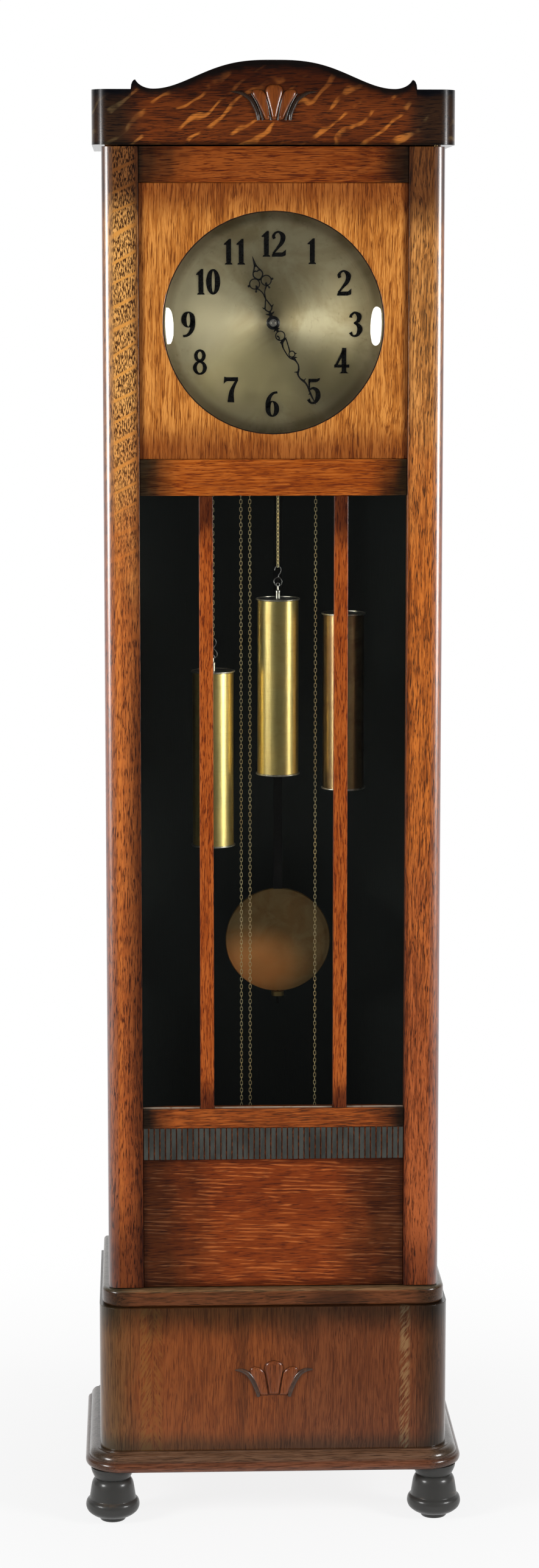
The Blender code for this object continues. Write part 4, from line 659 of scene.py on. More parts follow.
def age_shade():
    """Shade along an axis, as age on some boards and as painted light or shade on others: a tone multiplies
    the colour, from none at the clear place to all at the full one, unevenly."""
    tree, take, give = new_group("age_shade", {
        "Place": "vector", "Along": "value", "Clear": "value", "Full": "value", "Tone": "colour",
        "Colour": "colour"}, {"Colour": "colour"})
    wander = sums(tree, "SUBTRACT", noise(tree, take["Place"], (26.0, 26.0, 12.0), 3.0, 0.6), 0.5)
    reach = sums(tree, "MULTIPLY", sums(tree, "SUBTRACT", take["Full"], take["Clear"]), 0.8)
    along = sums(tree, "ADD", take["Along"], sums(tree, "MULTIPLY", wander, reach))
    share = between(tree, along, take["Clear"], take["Full"])
    fill(tree, give, {"Colour": darken(tree, take["Colour"], share, take["Tone"])})
    return tree


def soft_patch():
    """Soft oval patch round a centre, as a mask that falls from its strength to none just past its
    half size."""
    tree, take, give = new_group("soft_patch", {
        "Place": "vector", "Centre": "vector", "Size": "vector", "Strength": "value"}, {"Mask": "value"})
    off = vector_sums(tree, "SUBTRACT", take["Place"], take["Centre"])
    away = distance(tree, vector_sums(tree, "DIVIDE", off, take["Size"]))
    fill(tree, give, {"Mask": between(tree, away, 0.30, 1.30, take["Strength"], 0.0)})
    return tree


def fleck_strip():
    """Narrow upright strip, between two X, where slanting flecks of a paler tone show in the wood."""
    tree, take, give = new_group("fleck_strip", {
        "Place": "vector", "Slanted": "vector", "Low": "value", "High": "value", "Tone": "colour",
        "Colour": "colour"}, {"Colour": "colour"})
    across = apart(tree, take["Place"])[0]
    from_low = between(tree, across, take["Low"], sums(tree, "ADD", take["Low"], FLECK_EDGE))
    from_high = between(tree, across, take["High"], sums(tree, "SUBTRACT", take["High"], FLECK_EDGE))
    flecks = between(tree, noise(tree, take["Slanted"], (60.0, 380.0, 380.0)), 0.42, 0.60)
    share = sums(tree, "MULTIPLY", sums(tree, "MULTIPLY", from_low, from_high), flecks)
    fill(tree, give, {"Colour": tint(tree, share, take["Colour"], take["Tone"])})
    return tree


def worn_brass():
    """Old lacquered brass: cloudy patches of a second tone, dark specks, and fine turning lines."""
    tree, take, give = new_group("worn_brass", {
        "Place": "vector", "Cloud Scale": "vector", "Lines": "vector", "Bright": "colour", "Cloud": "colour",
        "Dark": "colour", "Roughness": "value"}, SURFACE)
    clouds = noise(tree, take["Place"], take["Cloud Scale"], 4.0, 0.6, 0.8)
    specks = noise(tree, take["Place"], (240.0, 240.0, 240.0), 3.0, 0.65)
    lines = noise(tree, take["Lines"], (1.0, 1.0, 1.0), 3.0, 0.6)
    colour = tint(tree, between(tree, clouds, 0.38, 0.64), take["Bright"], take["Cloud"])
    colour = tint(tree, between(tree, specks, 0.56, 0.80, 0.0, 0.45), colour, take["Dark"])
    colour = tint(tree, between(tree, lines, 0.5, 0.72, 0.0, 0.30), colour, take["Dark"])
    rough = sums(tree, "ADD", take["Roughness"], between(tree, clouds, 0.35, 0.75, -0.02, 0.06))
    fill(tree, give, {"Colour": colour, "Roughness": rough, "Height": lines})
    return tree


def worn_coat():
    """Dark coat that wears through to another tone in patches, with a fine uneven gloss."""
    tree, take, give = new_group("worn_coat", {
        "Place": "vector", "Patch Scale": "vector", "Threshold": "value", "Base": "colour", "Worn": "colour",
        "Roughness": "value"}, SURFACE)
    patches = noise(tree, take["Place"], take["Patch Scale"], 4.0, 0.62, 0.4)
    fine = noise(tree, take["Place"], (420.0, 420.0, 420.0))
    worn = between(tree, patches, take["Threshold"], sums(tree, "ADD", take["Threshold"], 0.2))
    smooth = sums(tree, "SUBTRACT", take["Roughness"], 0.06)
    coarse = sums(tree, "ADD", take["Roughness"], 0.08)
    fill(tree, give, {"Colour": tint(tree, worn, take["Base"], take["Worn"]),
                      "Roughness": between(tree, fine, 0.3, 0.7, smooth, coarse), "Height": fine})
    return tree


def patchy_steel():
    """Plain steel with darker, duller patches."""
    tree, take, give = new_group("patchy_steel", {
        "Place": "vector", "Bright": "colour", "Dark": "colour", "Roughness": "value"},
        {"Colour": "colour", "Roughness": "value"})
    patches = noise(tree, take["Place"], (180.0, 180.0, 180.0), 3.0, 0.6)
    dull = sums(tree, "ADD", take["Roughness"], 0.12)
    fill(tree, give, {"Colour": tint(tree, between(tree, patches, 0.35, 0.7), take["Bright"], take["Dark"]),
                      "Roughness": between(tree, patches, 0.3, 0.7, take["Roughness"], dull)})
    return tree


def glass_streaks():
    """Faint streaks in old glass, as a roughness from none to the most."""
    tree, take, give = new_group("glass_streaks", {"Place": "vector", "Most": "value"},
                                 {"Roughness": "value"})
    streaks = noise(tree, take["Place"], (9.0, 9.0, 3.0))
    fill(tree, give, {"Roughness": between(tree, streaks, 0.3, 0.8, 0.0, take["Most"])})
    return tree


OAK_FIGURE = oak_figure()
AGE_AND_LIGHT_SHADE = age_shade()
SOFT_PATCH = soft_patch()
FLECK_STRIP = fleck_strip()
WORN_BRASS = worn_brass()
WORN_COAT = worn_coat()
PATCHY_STEEL = patchy_steel()
GLASS_STREAKS = glass_streaks()


# Finishes

def new_material(name):
    """A new material: its tree, its Principled shader and the piece's own coordinates."""
    material = bpy.data.materials.new(name)
    material.use_nodes = True
    tree = material.node_tree
    return material, tree, tree.nodes["Principled BSDF"], add(tree, "ShaderNodeTexCoord").outputs["Object"]


def bump(tree, height, strength, depth):
    """The surface's normal, raised by a height."""
    return add(tree, "ShaderNodeBump", {"Height": height, "Strength": strength, "Distance": depth}).outputs[0]


def oak_board(name, tones, upright=True, dash=LONG_DASH, dash_share=0.45, contrast=2.3,
              rays=PLAIN_RAYS, shift=0.0, shades=(), top_band=None, patches=(), strips=(), cut=None,
              gloss=None, inner_black=None):
    """Varnished oak for one board: its tones, the way its grain and rays run, and its shades of age and of
    painted light and shade.
    """
    material, tree, shader, place_at = new_material(name)
    turn, period, length, bend, edge, ray_share = rays
    stain = along_top(tree, place_at, *top_band) if top_band else 0.0
    for centre, size, strength in patches:
        stain = sums(tree, "MAXIMUM", stain, patch_mask(tree, place_at, centre, size, strength))
    dark, mid, light, fleck = ((*tone, 1) for tone in tones)
    wood = group(tree, OAK_FIGURE, {
        "Grain": slanted(tree, place_at, UPRIGHT_GRAIN if upright else LEVEL_GRAIN, shift),
        "Dash Scale": dash, "Dash Share": dash_share, "Contrast": contrast,
        "Ray": slanted(tree, place_at, turn, shift), "Ray Scale": (1 / length, 1 / period, 1 / period),
        "Ray Bend": bend, "Ray Edge": edge, "Ray Share": ray_share, "Dark": dark, "Mid": mid, "Light": light,
        "Ray Colour": fleck, "Stain": stain, "Stain Colour": STAIN_BLACK})
    colour, rough = wood["Colour"], wood["Roughness"]
    for low, high, rise, tone in strips:
        colour = group(tree, FLECK_STRIP, {
            "Place": place_at, "Slanted": slanted(tree, place_at, rise), "Low": low, "High": high,
            "Tone": (*tone, 1), "Colour": colour})["Colour"]
    if cut:
        colour = cut_rays(tree, place_at, colour, *cut)
    # Shades along an axis: some are age, some are painted shadow or painted highlight
    for axis, clear, full, tone in shades:
        colour = group(tree, AGE_AND_LIGHT_SHADE, {
            "Place": place_at, "Along": apart(tree, place_at)["XYZ".index(axis)],
            "Clear": clear, "Full": full, "Tone": (*tone, 1), "Colour": colour})["Colour"]
    coat = {"Coat Weight": VARNISH, "Coat Roughness": VARNISH_ROUGHNESS}
    if gloss:
        coat = {"Coat Weight": between(tree, apart(tree, place_at)[0], *gloss, 0.1, 1.0),
                "Coat Roughness": NOSE_ROUGHNESS, "Coat IOR": NOSE_IOR}
    if inner_black:
        axis, inner, outer = inner_black
        reach = sums(tree, "ABSOLUTE", apart(tree, place_at)["XYZ".index(axis)], 0.0)
        outside = between(tree, reach, inner, outer)
        colour = tint(tree, outside, INSIDE_BLACK, colour)
        rough = sums(tree, "MAXIMUM", rough, between(tree, outside, 0.0, 1.0, 0.9, 0.0))
        coat["Coat Weight"] = sums(tree, "MULTIPLY", outside, VARNISH)
    fill(tree, shader, {"Base Color": colour, "Roughness": rough, "Specular IOR Level": WOOD_SPECULAR,
                        "Normal": bump(tree, wood["Height"], 0.18, 0.0005), **coat})
    return material


def both_ends(axis, low, high, clear, full, tone):
    """The two shades that darken a board towards its ends: none at clear from an end, all at full from it."""
    return [(axis, low + clear, low + full, tone), (axis, high - clear, high - full, tone)]


def patch_mask(tree, place_at, centre, size, strength):
    """A soft oval patch's mask."""
    return group(tree, SOFT_PATCH, {
        "Place": place_at, "Centre": centre, "Size": size, "Strength": strength})["Mask"]


def along_top(tree, place_at, low, high):
    """Stain along a shaped top edge, by the piece's own V, which is 0 at its foot and 1 at that edge."""
    height = apart(tree, add(tree, "ShaderNodeUVMap", uv_map="turning").outputs[0])[1]
    wander = sums(tree, "SUBTRACT", noise(tree, place_at, (40.0, 40.0, 40.0), 3.0, 0.6), 0.5)
    return between(tree, sums(tree, "ADD", height, sums(tree, "MULTIPLY", wander, 0.15)), low, high)


def cut_rays(tree, place_at, colour, low, high, foot, rise, spacing, tones):
    """Rays cut across in an upright strip, between two X and above a foot: short dark strokes along
    the grain, crossed by smooth slanting bands."""
    across, _, up = apart(tree, place_at)
    inside = between(tree, across, low, low + 0.010)
    for edge in (between(tree, across, high, high - 0.004), between(tree, up, foot, foot + 0.30)):
        inside = sums(tree, "MULTIPLY", inside, edge)
    dark, light, band = ((*tone, 1) for tone in tones)
    strokes = between(tree, noise(tree, place_at, (780.0, 780.0, 165.0)), 0.43, 0.58)
    bands = vector_sums(tree, "MULTIPLY", slanted(tree, place_at, rise), (16.0, 1 / spacing, 1 / spacing))
    smooth = between(tree, waves(tree, bands, 3.2, 1.3), 0.91, 1.0)
    return tint(tree, inside, colour, tint(tree, smooth, tint(tree, strokes, dark, light), band))


def brass_finish(name, tones, roughness, lines=(1.0, 1.0, 1.0), anisotropy=0.0, bump_strength=0.05,
                 cloud_scale=26.0, painted_light=(), rim=None):
    """Worn brass: its tones, its gloss, how its turning lines run, patches of painted reflection, lighter and
    darker, and a rim darkened by painted shade."""
    material, tree, shader, place_at = new_material(name)
    own_map = add(tree, "ShaderNodeTexCoord").outputs["UV"] if anisotropy else place_at
    bright, cloud, dark = ((*tone, 1) for tone in tones)
    brass = group(tree, WORN_BRASS, {
        "Place": place_at, "Cloud Scale": (cloud_scale, cloud_scale, cloud_scale),
        "Lines": vector_sums(tree, "MULTIPLY", own_map, lines), "Bright": bright, "Cloud": cloud,
        "Dark": dark, "Roughness": roughness})
    colour = brass["Colour"]
    # Patches of painted reflection, lighter and darker, laid into the colour
    for centre, size, tone in painted_light:
        colour = tint(tree, patch_mask(tree, place_at, centre, size, PAINTED_LIGHT_STRENGTH), colour, (*tone, 1))
    # A rim darkened by painted shade
    if rim:
        start, end, tone = rim
        share = between(tree, apart(tree, own_map)[0], start, end)
        share = sums(tree, "MULTIPLY", share, noise(tree, place_at, (9.0, 9.0, 9.0)))
        colour = darken(tree, colour, share, (*tone, 1))
    fill(tree, shader, {"Base Color": colour, "Roughness": brass["Roughness"], "Metallic": 1.0,
                        "Normal": bump(tree, brass["Height"], bump_strength, 0.0002)})
    if anisotropy:
        along = add(tree, "ShaderNodeTangent", direction_type="UV_MAP", uv_map="turning").outputs[0]
        fill(tree, shader, {"Anisotropic": anisotropy, "Tangent": along})
    return material


def clear_glass(name, tone, roughness):
    """Clear old glass that lets lamps through: faint streaks in its gloss."""
    material, tree, shader, place_at = new_material(name)
    streaks = group(tree, GLASS_STREAKS, {"Place": place_at, "Most": roughness})
    fill(tree, shader, {"Base Color": (*tone, 1), "Transmission Weight": 1.0, "IOR": GLASS_IOR,
                        "Roughness": streaks["Roughness"]})
    path = add(tree, "ShaderNodeLightPath").outputs
    clear = add(tree, "ShaderNodeBsdfTransparent", {"Color": (*tone, 1)})
    passing = sums(tree, "MAXIMUM", path["Is Shadow Ray"], path["Is Diffuse Ray"])
    mixed = add(tree, "ShaderNodeMixShader", {0: passing, 1: shader.outputs[0], 2: clear.outputs[0]})
    fill(tree, tree.nodes["Material Output"], {"Surface": mixed.outputs[0]})
    return material


def dark_coat(name, tones, roughness, patch_scale, threshold, coat=0.3):
    """A dark finish that wears through to another tone in patches."""
    material, tree, shader, place_at = new_material(name)
    base, worn = ((*tone, 1) for tone in tones)
    finish = group(tree, WORN_COAT, {
        "Place": place_at, "Patch Scale": patch_scale, "Threshold": threshold, "Base": base, "Worn": worn,
        "Roughness": roughness})
    fill(tree, shader, {
        "Base Color": finish["Colour"], "Roughness": finish["Roughness"], "Specular IOR Level": WOOD_SPECULAR,
        "Coat Weight": coat, "Coat Roughness": COAT_ROUGHNESS,
        "Normal": bump(tree, finish["Height"], 0.08, 0.0003)})
    return material


def steel_finish(name, tones, roughness):
    """Plain steel with darker patches."""
    material, tree, shader, place_at = new_material(name)
    bright, dark = ((*tone, 1) for tone in tones)
    steel = group(tree, PATCHY_STEEL, {"Place": place_at, "Bright": bright, "Dark": dark,
                                       "Roughness": roughness})
    fill(tree, shader, {"Base Color": steel["Colour"], "Roughness": steel["Roughness"], "Metallic": 1.0})
    return material


# Case pieces

def make_case():
    """Feet, base, plinth, trunk walls and hood, in their order from the floor, then the fittings inside."""
    make_feet()
    make_base()
    make_plinth()
    make_cap()
    make_trunk()
    make_hood()
    make_fittings()


def make_feet():
    """Four turned feet in worn ebony black."""
    ebony = dark_coat("ebonised_foot", EBONY, 0.46, (30.0, 30.0, 90.0), 0.58, 0.5)
    for node in ("foot_front_left", "foot_front_right", "foot_back_left", "foot_back_right"):
        low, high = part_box(node)
        middle = 0.5 * (low + high)
        foot = turned(foot_profile(high.z - low.z), (middle.x, middle.y, low.z), steps=72)
        place(node + "_turning", [foot], ebony, "case", (node,), crease=40)


def foot_profile(height):
    """Turned foot as (radius, height): a pad, a round bulge, a tapered shank and a flared collar."""
    pad = [(POLE_RADIUS, 0), (0.0168, 0), (0.0175, 0.0008), (0.018, 0.005)]
    bulge = ease_through([(0.019, 0.0055), (0.027, 0.008), (0.034, 0.0135), (0.0365, 0.019), (0.0366, 0.0235),
                          (0.0352, 0.028), (0.032, 0.0308)], 5)
    shank = ease_through([(0.0318, 0.0312), (0.0305, 0.040), (0.0285, 0.052), (0.026, 0.0575),
                          (0.0232, 0.0598)], 4)
    collar = ease_through([(0.0236, 0.0603), (0.0250, 0.0615), (0.0288, 0.070), (0.0298, height)], 4)
    return np.concatenate([pad, bulge, shank, collar, [(POLE_RADIUS, height)]])


def make_base():
    """Moulded base board, greyer above its step and dark towards its ends."""
    step_z = BASE_LOW.z + BASE_BEAD_RISE
    oak = oak_board("base_oak", BASE, upright=False, rays=RAIL_RAYS, shift=0.3,
                    shades=[("Z", step_z - 0.001, step_z + 0.003, (0.80, 1.12, 1.25)),
                            *both_ends("X", BASE_LOW.x, BASE_HIGH.x, 0.060, 0.020, (0.45, 0.6, 0.7))])
    place("base_moulding", [base_moulding()], oak, "case", ("base_board",), crease=30)


def base_moulding():
    """Base board: a round bead below, a small step, and a cove that draws in to the plinth."""
    turn = np.linspace(-np.pi / 2, np.pi / 2, 13)
    bead = np.column_stack([BASE_BEAD_DRAW * (1 - np.cos(turn)),
                            BASE_LOW.z + BASE_BEAD_ROUND + BASE_BEAD_ROUND * np.sin(turn)])
    step_z = BASE_LOW.z + BASE_BEAD_RISE
    cove_z = step_z + BASE_STEP_RISE
    step = [(BASE_STEP_DRAW, step_z), (BASE_STEP_DRAW, cove_z)]
    sweep = np.linspace(0, np.pi / 2, 11)
    draw = (BASE_COVE_DRAW - BASE_COVE_START) * (1 - np.cos(sweep)) ** BASE_COVE_POWER
    cove = np.column_stack([BASE_COVE_START + draw,
                            cove_z + (BASE_HIGH.z - BASE_STEP_RISE - cove_z) * np.sin(sweep)])
    rim = [(BASE_COVE_DRAW + BASE_RIM_DRAW, BASE_HIGH.z), (BASE_HIDDEN_DRAW, BASE_HIGH.z)]
    profile = np.concatenate([[(BASE_HIDDEN_DRAW, BASE_LOW.z)], bead, step, cove, rim])
    return moulded(profile, BASE_HIGH.x, BASE_LOW.y, BASE_HIGH.y, BASE_CORNER)


def make_cap():
    """Cap board over the plinth, with a painted highlight along its top edge, and dark towards its ends."""
    # The first shade lightens and greys the rounded top edge: a painted highlight
    oak = oak_board("cap_oak", CAP, upright=False, rays=RAIL_RAYS, shift=0.7, patches=[CAP_STAIN],
                    shades=[("Z", CAP_HIGH.z - 0.004, CAP_HIGH.z - 0.001, (1.6, 2.7, 3.6)),
                            *both_ends("X", CAP_LOW.x, CAP_HIGH.x, 0.060, 0.018, (0.40, 0.55, 0.7))])
    place("plinth_cap_board", [cap_board()], oak, "case", ("plinth_cap",), crease=30)


def cap_board():
    """Cap board with a rounded top and bottom edge."""
    turn = np.linspace(0, np.pi / 2, 7)
    below = np.column_stack([CAP_UNDER_ROUND * (1 - np.sin(turn)),
                             CAP_LOW.z + CAP_UNDER_ROUND * (1 - np.cos(turn))])
    above = np.column_stack([CAP_ROUND * (1 - np.cos(turn)), CAP_HIGH.z - CAP_ROUND * (1 - np.sin(turn))])
    profile = np.concatenate([[(CAP_HIDDEN_DRAW, CAP_LOW.z)], below, above, [(CAP_HIDDEN_DRAW, CAP_HIGH.z)]])
    return moulded(profile, CAP_HIGH.x, CAP_LOW.y, CAP_HIGH.y, CAP_CORNER)


def make_plinth():
    """Plinth: front board, two sides that turn the rounded corners, and the carved palmette."""
    front_oak = oak_board("plinth_front_oak", PLINTH, dash=SMOOTH_DASH, shift=0.15, patches=[PLINTH_STAIN],
                          shades=PLINTH_SHADES, strips=PLINTH_FLECKS)
    finish_node("plinth_front", front_oak, SEAM_EASE)
    turn = np.linspace(0, np.pi / 2, CORNER_STEPS + 1)
    centre_x, centre_y = PLINTH_HIGH.x - PLINTH_CORNER, PLINTH_LOW.y + PLINTH_CORNER
    for side, sign, shift in (("left", -1, 0.29), ("right", 1, 0.51)):
        outline = []
        for radius in (PLINTH_CORNER, PLINTH_CORNER - PLINTH_WALL):
            bend = np.column_stack([centre_x + radius * np.cos(turn), centre_y - radius * np.sin(turn)])
            start, end = [(centre_x + radius, PLINTH_HIGH.y)], [(PLINTH_LOW.x, centre_y - radius)]
            outline.append(np.concatenate([start, bend, end]) * (sign, 1))
        oak = oak_board("plinth_" + side + "_oak", PLINTH, dash=SMOOTH_DASH, shift=shift,
                        shades=PLINTH_SHADES)
        place("plinth_wall_" + side, [wall(*outline, PLINTH_LOW.z, PLINTH_HIGH.z)], oak, "case",
              ("plinth_side_" + side,), ease=THIN_EASE)
    make_plinth_carving()


def make_trunk():
    """Trunk walls: oak outside, black inside."""
    for side, shift in (("left", 0.84), ("right", 1.05)):
        node = "case_side_" + side
        low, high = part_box(node)
        oak = oak_board(node + "_oak", STILE_RIGHT, rays=STILE_RIGHT_RAYS, shift=shift,
                        shades=[*TRUNK_SHADES, *both_ends("Z", low.z, high.z, 0.09, 0.02, (0.35, 0.3, 0.3))],
                        inner_black=("X", 0.2034, 0.2038))
        finish_node(node, oak, EDGE_EASE)
    back_oak = oak_board("back_board_oak", RED, shift=1.4, inner_black=("Y", 0.1490, 0.1494))
    finish_node("back_board", back_oak, EDGE_EASE)


def make_fittings():
    """The seat board, the pendulum's rod and the door's pivots keep the frame's shapes."""
    black_wood = dark_coat("inside_black", INSIDE, 0.7, (9.0, 9.0, 40.0), 0.6, 0)
    finish_node("seat_board", black_wood, EDGE_EASE)
    finish_node("pendulum_rod", black_wood, SLIM_EASE)
    # The pivots' brass is darkened as painted shade, for they sit in the gaps at the door's ends
    brass = brass_finish("pivot_painted_shade_brass", PIVOT_PAINTED_SHADE_BRASS, 0.45)
    finish_node("door_pivot_bottom", brass)
    finish_node("door_pivot_top", brass)


def crest_top(x):
    """Height of the crest's top edge: a cosine arch of a power of x, a round sweep to a horn, its
    quarter-oval side."""
    x = np.abs(x)
    reach = np.minimum(x / CREST_VALLEY_X, 1)
    bow = 0.5 + 0.5 * np.cos(np.pi * reach ** CREST_FULLNESS)
    arch = CREST_VALLEY_Z + (HOOD_HIGH.z - CREST_VALLEY_Z) * bow
    along = np.clip((x - CREST_VALLEY_X) / (HORN_TIP_X - CREST_VALLEY_X), 0, 1)
    turn = np.arcsin(along * math.sin(HORN_SWEEP))
    sweep = CREST_VALLEY_Z + (HORN_TIP_Z - CREST_VALLEY_Z) * (1 - np.cos(turn)) / (1 - math.cos(HORN_SWEEP))
    past = np.clip((x - HORN_TIP_X) / (HORN_OUTER_X - HORN_TIP_X), 0, 1)
    side = HOOD_SIDE_HIGH.z + (HORN_TIP_Z - HOOD_SIDE_HIGH.z) * np.sqrt(1 - past ** 2)
    return np.select([x <= CREST_VALLEY_X, x <= HORN_TIP_X], [arch, sweep], side)


def make_hood():
    """Hood: one shell whose crest, rounded corners and sides run on without a seam, its top board
    and its carving."""
    half = HOOD_SIDE_HIGH.x
    turn = np.linspace(0, np.pi / 2, CORNER_STEPS + 1)
    corner = np.column_stack([half - HOOD_CORNER + HOOD_CORNER * np.cos(turn),
                              HOOD_LOW.y + HOOD_CORNER - HOOD_CORNER * np.sin(turn)])
    horn_side = HORN_TIP_X + (HORN_OUTER_X - HORN_TIP_X) * np.array([1, 0.88, 0.68, 0.38, 0])
    span = np.concatenate([horn_side, np.linspace(HORN_TIP_X, CREST_VALLEY_X, 15)[1:],
                           np.linspace(CREST_VALLEY_X, 0, 61)[1:]])
    straight = np.column_stack([span, np.full(len(span), HOOD_LOW.y)])
    right = np.concatenate([[(half, HOOD_SIDE_HIGH.y)], corner, straight])
    outer = np.concatenate([right, right[-2::-1] * (-1, 1)])
    inner = np.column_stack([np.clip(outer[:, 0], -HOOD_INNER_X, HOOD_INNER_X),
                             np.maximum(outer[:, 1], HOOD_LOW.y + CREST_THICKNESS)])
    oak = oak_board("crest_oak", CREST, upright=False, dash_share=0.55, contrast=2.9, rays=CREST_RAYS,
                    shift=0.52, top_band=CREST_STAIN_BAND,
                    shades=[*CREST_SHADES, *both_ends("X", -half, half, 0.080, 0.034, (0.22, 0.44, 1.2))])
    high = np.where(np.abs(outer[:, 0]) <= HORN_OUTER_X, crest_top(outer[:, 0]), HOOD_SIDE_HIGH.z)
    high = np.where(outer[:, 1] > HOOD_LOW.y + MERGE_DISTANCE, HOOD_SIDE_HIGH.z, high)
    hood = place("hood_shell", [wall(outer, inner, HOOD_LOW.z, high)], oak, "case",
                 ("hood_crest", "hood_side_left", "hood_side_right"), ease=SEAM_EASE)
    unroll(hood, lambda p: p[:, 0] / half, lambda p: np.where(p[:, 2] > HOOD_LOW.z + 0.001, 1.0, 0.0))
    top_oak = oak_board("hood_top_oak", CREST, upright=False, shift=0.9)
    finish_node("hood_top", top_oak, EDGE_EASE)
    make_crest_carving()


# Carving

def petal(foot, tip, foot_half, tip_half, rise, front, lean=0.0, round_from=0.72):
    """A carved petal: width grows from foot to a round tip, and the face swells between sunk edges."""
    v = np.linspace(0, 1, 33)[:, None]
    u = np.linspace(-1, 1, 17)[None, :]
    width = foot_half + (tip_half - foot_half) * v ** 1.1
    over = np.clip((v - round_from) / (1 - round_from), 0, 1)
    width = width * np.sqrt(np.maximum(1 - over ** 2, 0.0004))
    middle_x = foot[0] + (tip[0] - foot[0]) * v + lean * np.sin(np.pi * v)
    z = foot[1] + (tip[1] - foot[1]) * v + 0 * u
    swell = np.maximum(1 - np.abs(u) ** 2.6, 0) ** 0.6
    ends = np.clip(v / 0.08, 0, 1) * np.sqrt(np.maximum(1 - over ** 4, 0))
    depth = rise * (0.08 + 0.92 * swell * ends)
    face = np.stack([middle_x + width * u, front - depth, z], axis=-1)
    back = np.stack([middle_x + width * u, front + CARVING_SINK + 0 * depth, z], axis=-1)
    return loft(np.concatenate([face, back[:, ::-1]], axis=1))


def ribbon_wing(points, sign, foot_z, front, rise):
    """A tapering ribbon through (x, height, half width) that curls outwards from the palmette's
    foot, round across."""
    route = ease_through(points, 8)
    path = route[:, :2] * (sign, 1) + (0, foot_z)
    half = np.maximum(route[:, 2:], 0.0003)
    normal = square_off(path)
    u = np.linspace(-1, 1, 11)[None, :]
    x = path[:, :1] + normal[:, :1] * half * u
    z = path[:, 1:] + normal[:, 1:] * half * u
    depth = rise * (0.1 + 0.9 * np.sqrt(np.maximum(1 - u ** 2, 0))) * np.clip(half / 0.003, 0.2, 1)
    face = np.stack([x, front - depth, z], axis=-1)
    back = np.stack([x, front + CARVING_SINK + 0 * depth, z], axis=-1)
    return loft(np.concatenate([face, back[:, ::-1]], axis=1))


def make_crest_carving():
    """Palmette on the crest: a tall middle petal and two side petals, edged and flanked by dark ribbons."""
    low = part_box("crest_carving")[0]
    front = HOOD_LOW.y
    rise = front - low.y - 0.0004
    petals = [petal((0, low.z + 0.0004), (0, low.z + 0.0466), 0.0024, 0.0150, rise, front)]
    wings = []
    for sign in (-1, 1):
        petals.append(petal((sign * 0.0086, low.z + 0.0006), (sign * 0.0226, low.z + 0.0404), 0.0030, 0.0112,
                            rise * 0.9, front, sign * -0.0010))
        for ribbon in CREST_RIBBONS:
            wings.append(ribbon_wing(ribbon, sign, low.z, front, rise * 0.95))
    # The shade by Y darkens the sunk edges round the petals: painted shade in the hollows, with some stain
    oak = oak_board("crest_carving_oak", CREST_PETAL, contrast=1.2, shift=0.33,
                    shades=[("Y", front - 0.0018, front - 0.0005, (0.10, 0.07, 0.06))])
    dark = dark_coat("crest_wing_dark", CREST_DARK, 0.30, (90.0, 90.0, 90.0), 0.55, 0.8)
    place("crest_palmette", petals, oak, "case", ("crest_carving",), crease=50)
    place("crest_ribbons", wings, dark, "case", ("crest_carving",), crease=50)


def make_plinth_carving():
    """Palmette on the plinth: three petals over two ribbon wings that curl outwards."""
    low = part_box("plinth_carving")[0]
    front = PLINTH_LOW.y
    rise = front - low.y - 0.0004
    petals = [petal((0, 0.1790), (0, 0.2280), 0.0064, 0.0154, rise, front)]
    wings = []
    for sign in (-1, 1):
        petals.append(petal((sign * 0.0132, 0.1785), (sign * 0.0258, 0.2194), 0.0054, 0.0116,
                            rise * 0.9, front, sign * -0.0008))
        wings.append(ribbon_wing(PLINTH_RIBBON, sign, 0.0, front, rise * 0.75))
    # The shade by Y darkens the sunk edges round the petals: painted shade in the hollows, with some stain
    oak = oak_board("plinth_carving_oak", PLINTH_PETAL, contrast=1.2, shift=0.61,
                    shades=[("Y", front - 0.0016, front - 0.0004, (0.14, 0.12, 0.12))])
    dark = dark_coat("plinth_wing_dark", PLINTH_DARK, 0.34, (90.0, 90.0, 90.0), 0.50, 0.8)
    place("plinth_palmette", petals, oak, "case", ("plinth_carving",), crease=50)
    place("plinth_ribbons", wings, dark, "case", ("plinth_carving",), crease=50)


# Door

def make_door():
    """Door frame, panels, reeded strip, panes and glazing bars."""
    make_stiles()
    make_rails()
    make_panels()
    make_reeds()
    make_glazing_beads()
    pane = clear_glass("old_pane_glass", PANE_TONE, 0.05)
    for node in ("pane_left", "pane_centre", "pane_right"):
        finish_node(node, pane)


def make_stiles():
    """Door stiles: the left one marked with slanting rays, the right one plainer, both darkened at the top by
    painted shadow under the hood."""
    left = oak_board("door_stile_left_oak", STILE_LEFT, dash=FINE_DASH, dash_share=0.5, rays=STILE_LEFT_RAYS,
                     shift=0.17, shades=STILE_LEFT_SHADES, patches=[STILE_LEFT_STAIN],
                     strips=STILE_LEFT_FLECKS, cut=STILE_LEFT_CUT,
                     gloss=(NOSE_FADE - STILE_NOSE_START, -STILE_NOSE_START))
    right = oak_board("door_stile_right_oak", STILE_RIGHT, dash=FINE_DASH, dash_share=0.30, contrast=3.0,
                      rays=STILE_RIGHT_RAYS, shift=0.63, shades=STILE_RIGHT_SHADES,
                      gloss=(STILE_NOSE_START - NOSE_FADE, STILE_NOSE_START))
    for side, sign, oak in (("left", -1, left), ("right", 1, right)):
        node = "door_stile_" + side
        place(node + "_board", [stile_board(sign)], oak, "door", (node,), ease=SLIM_EASE)


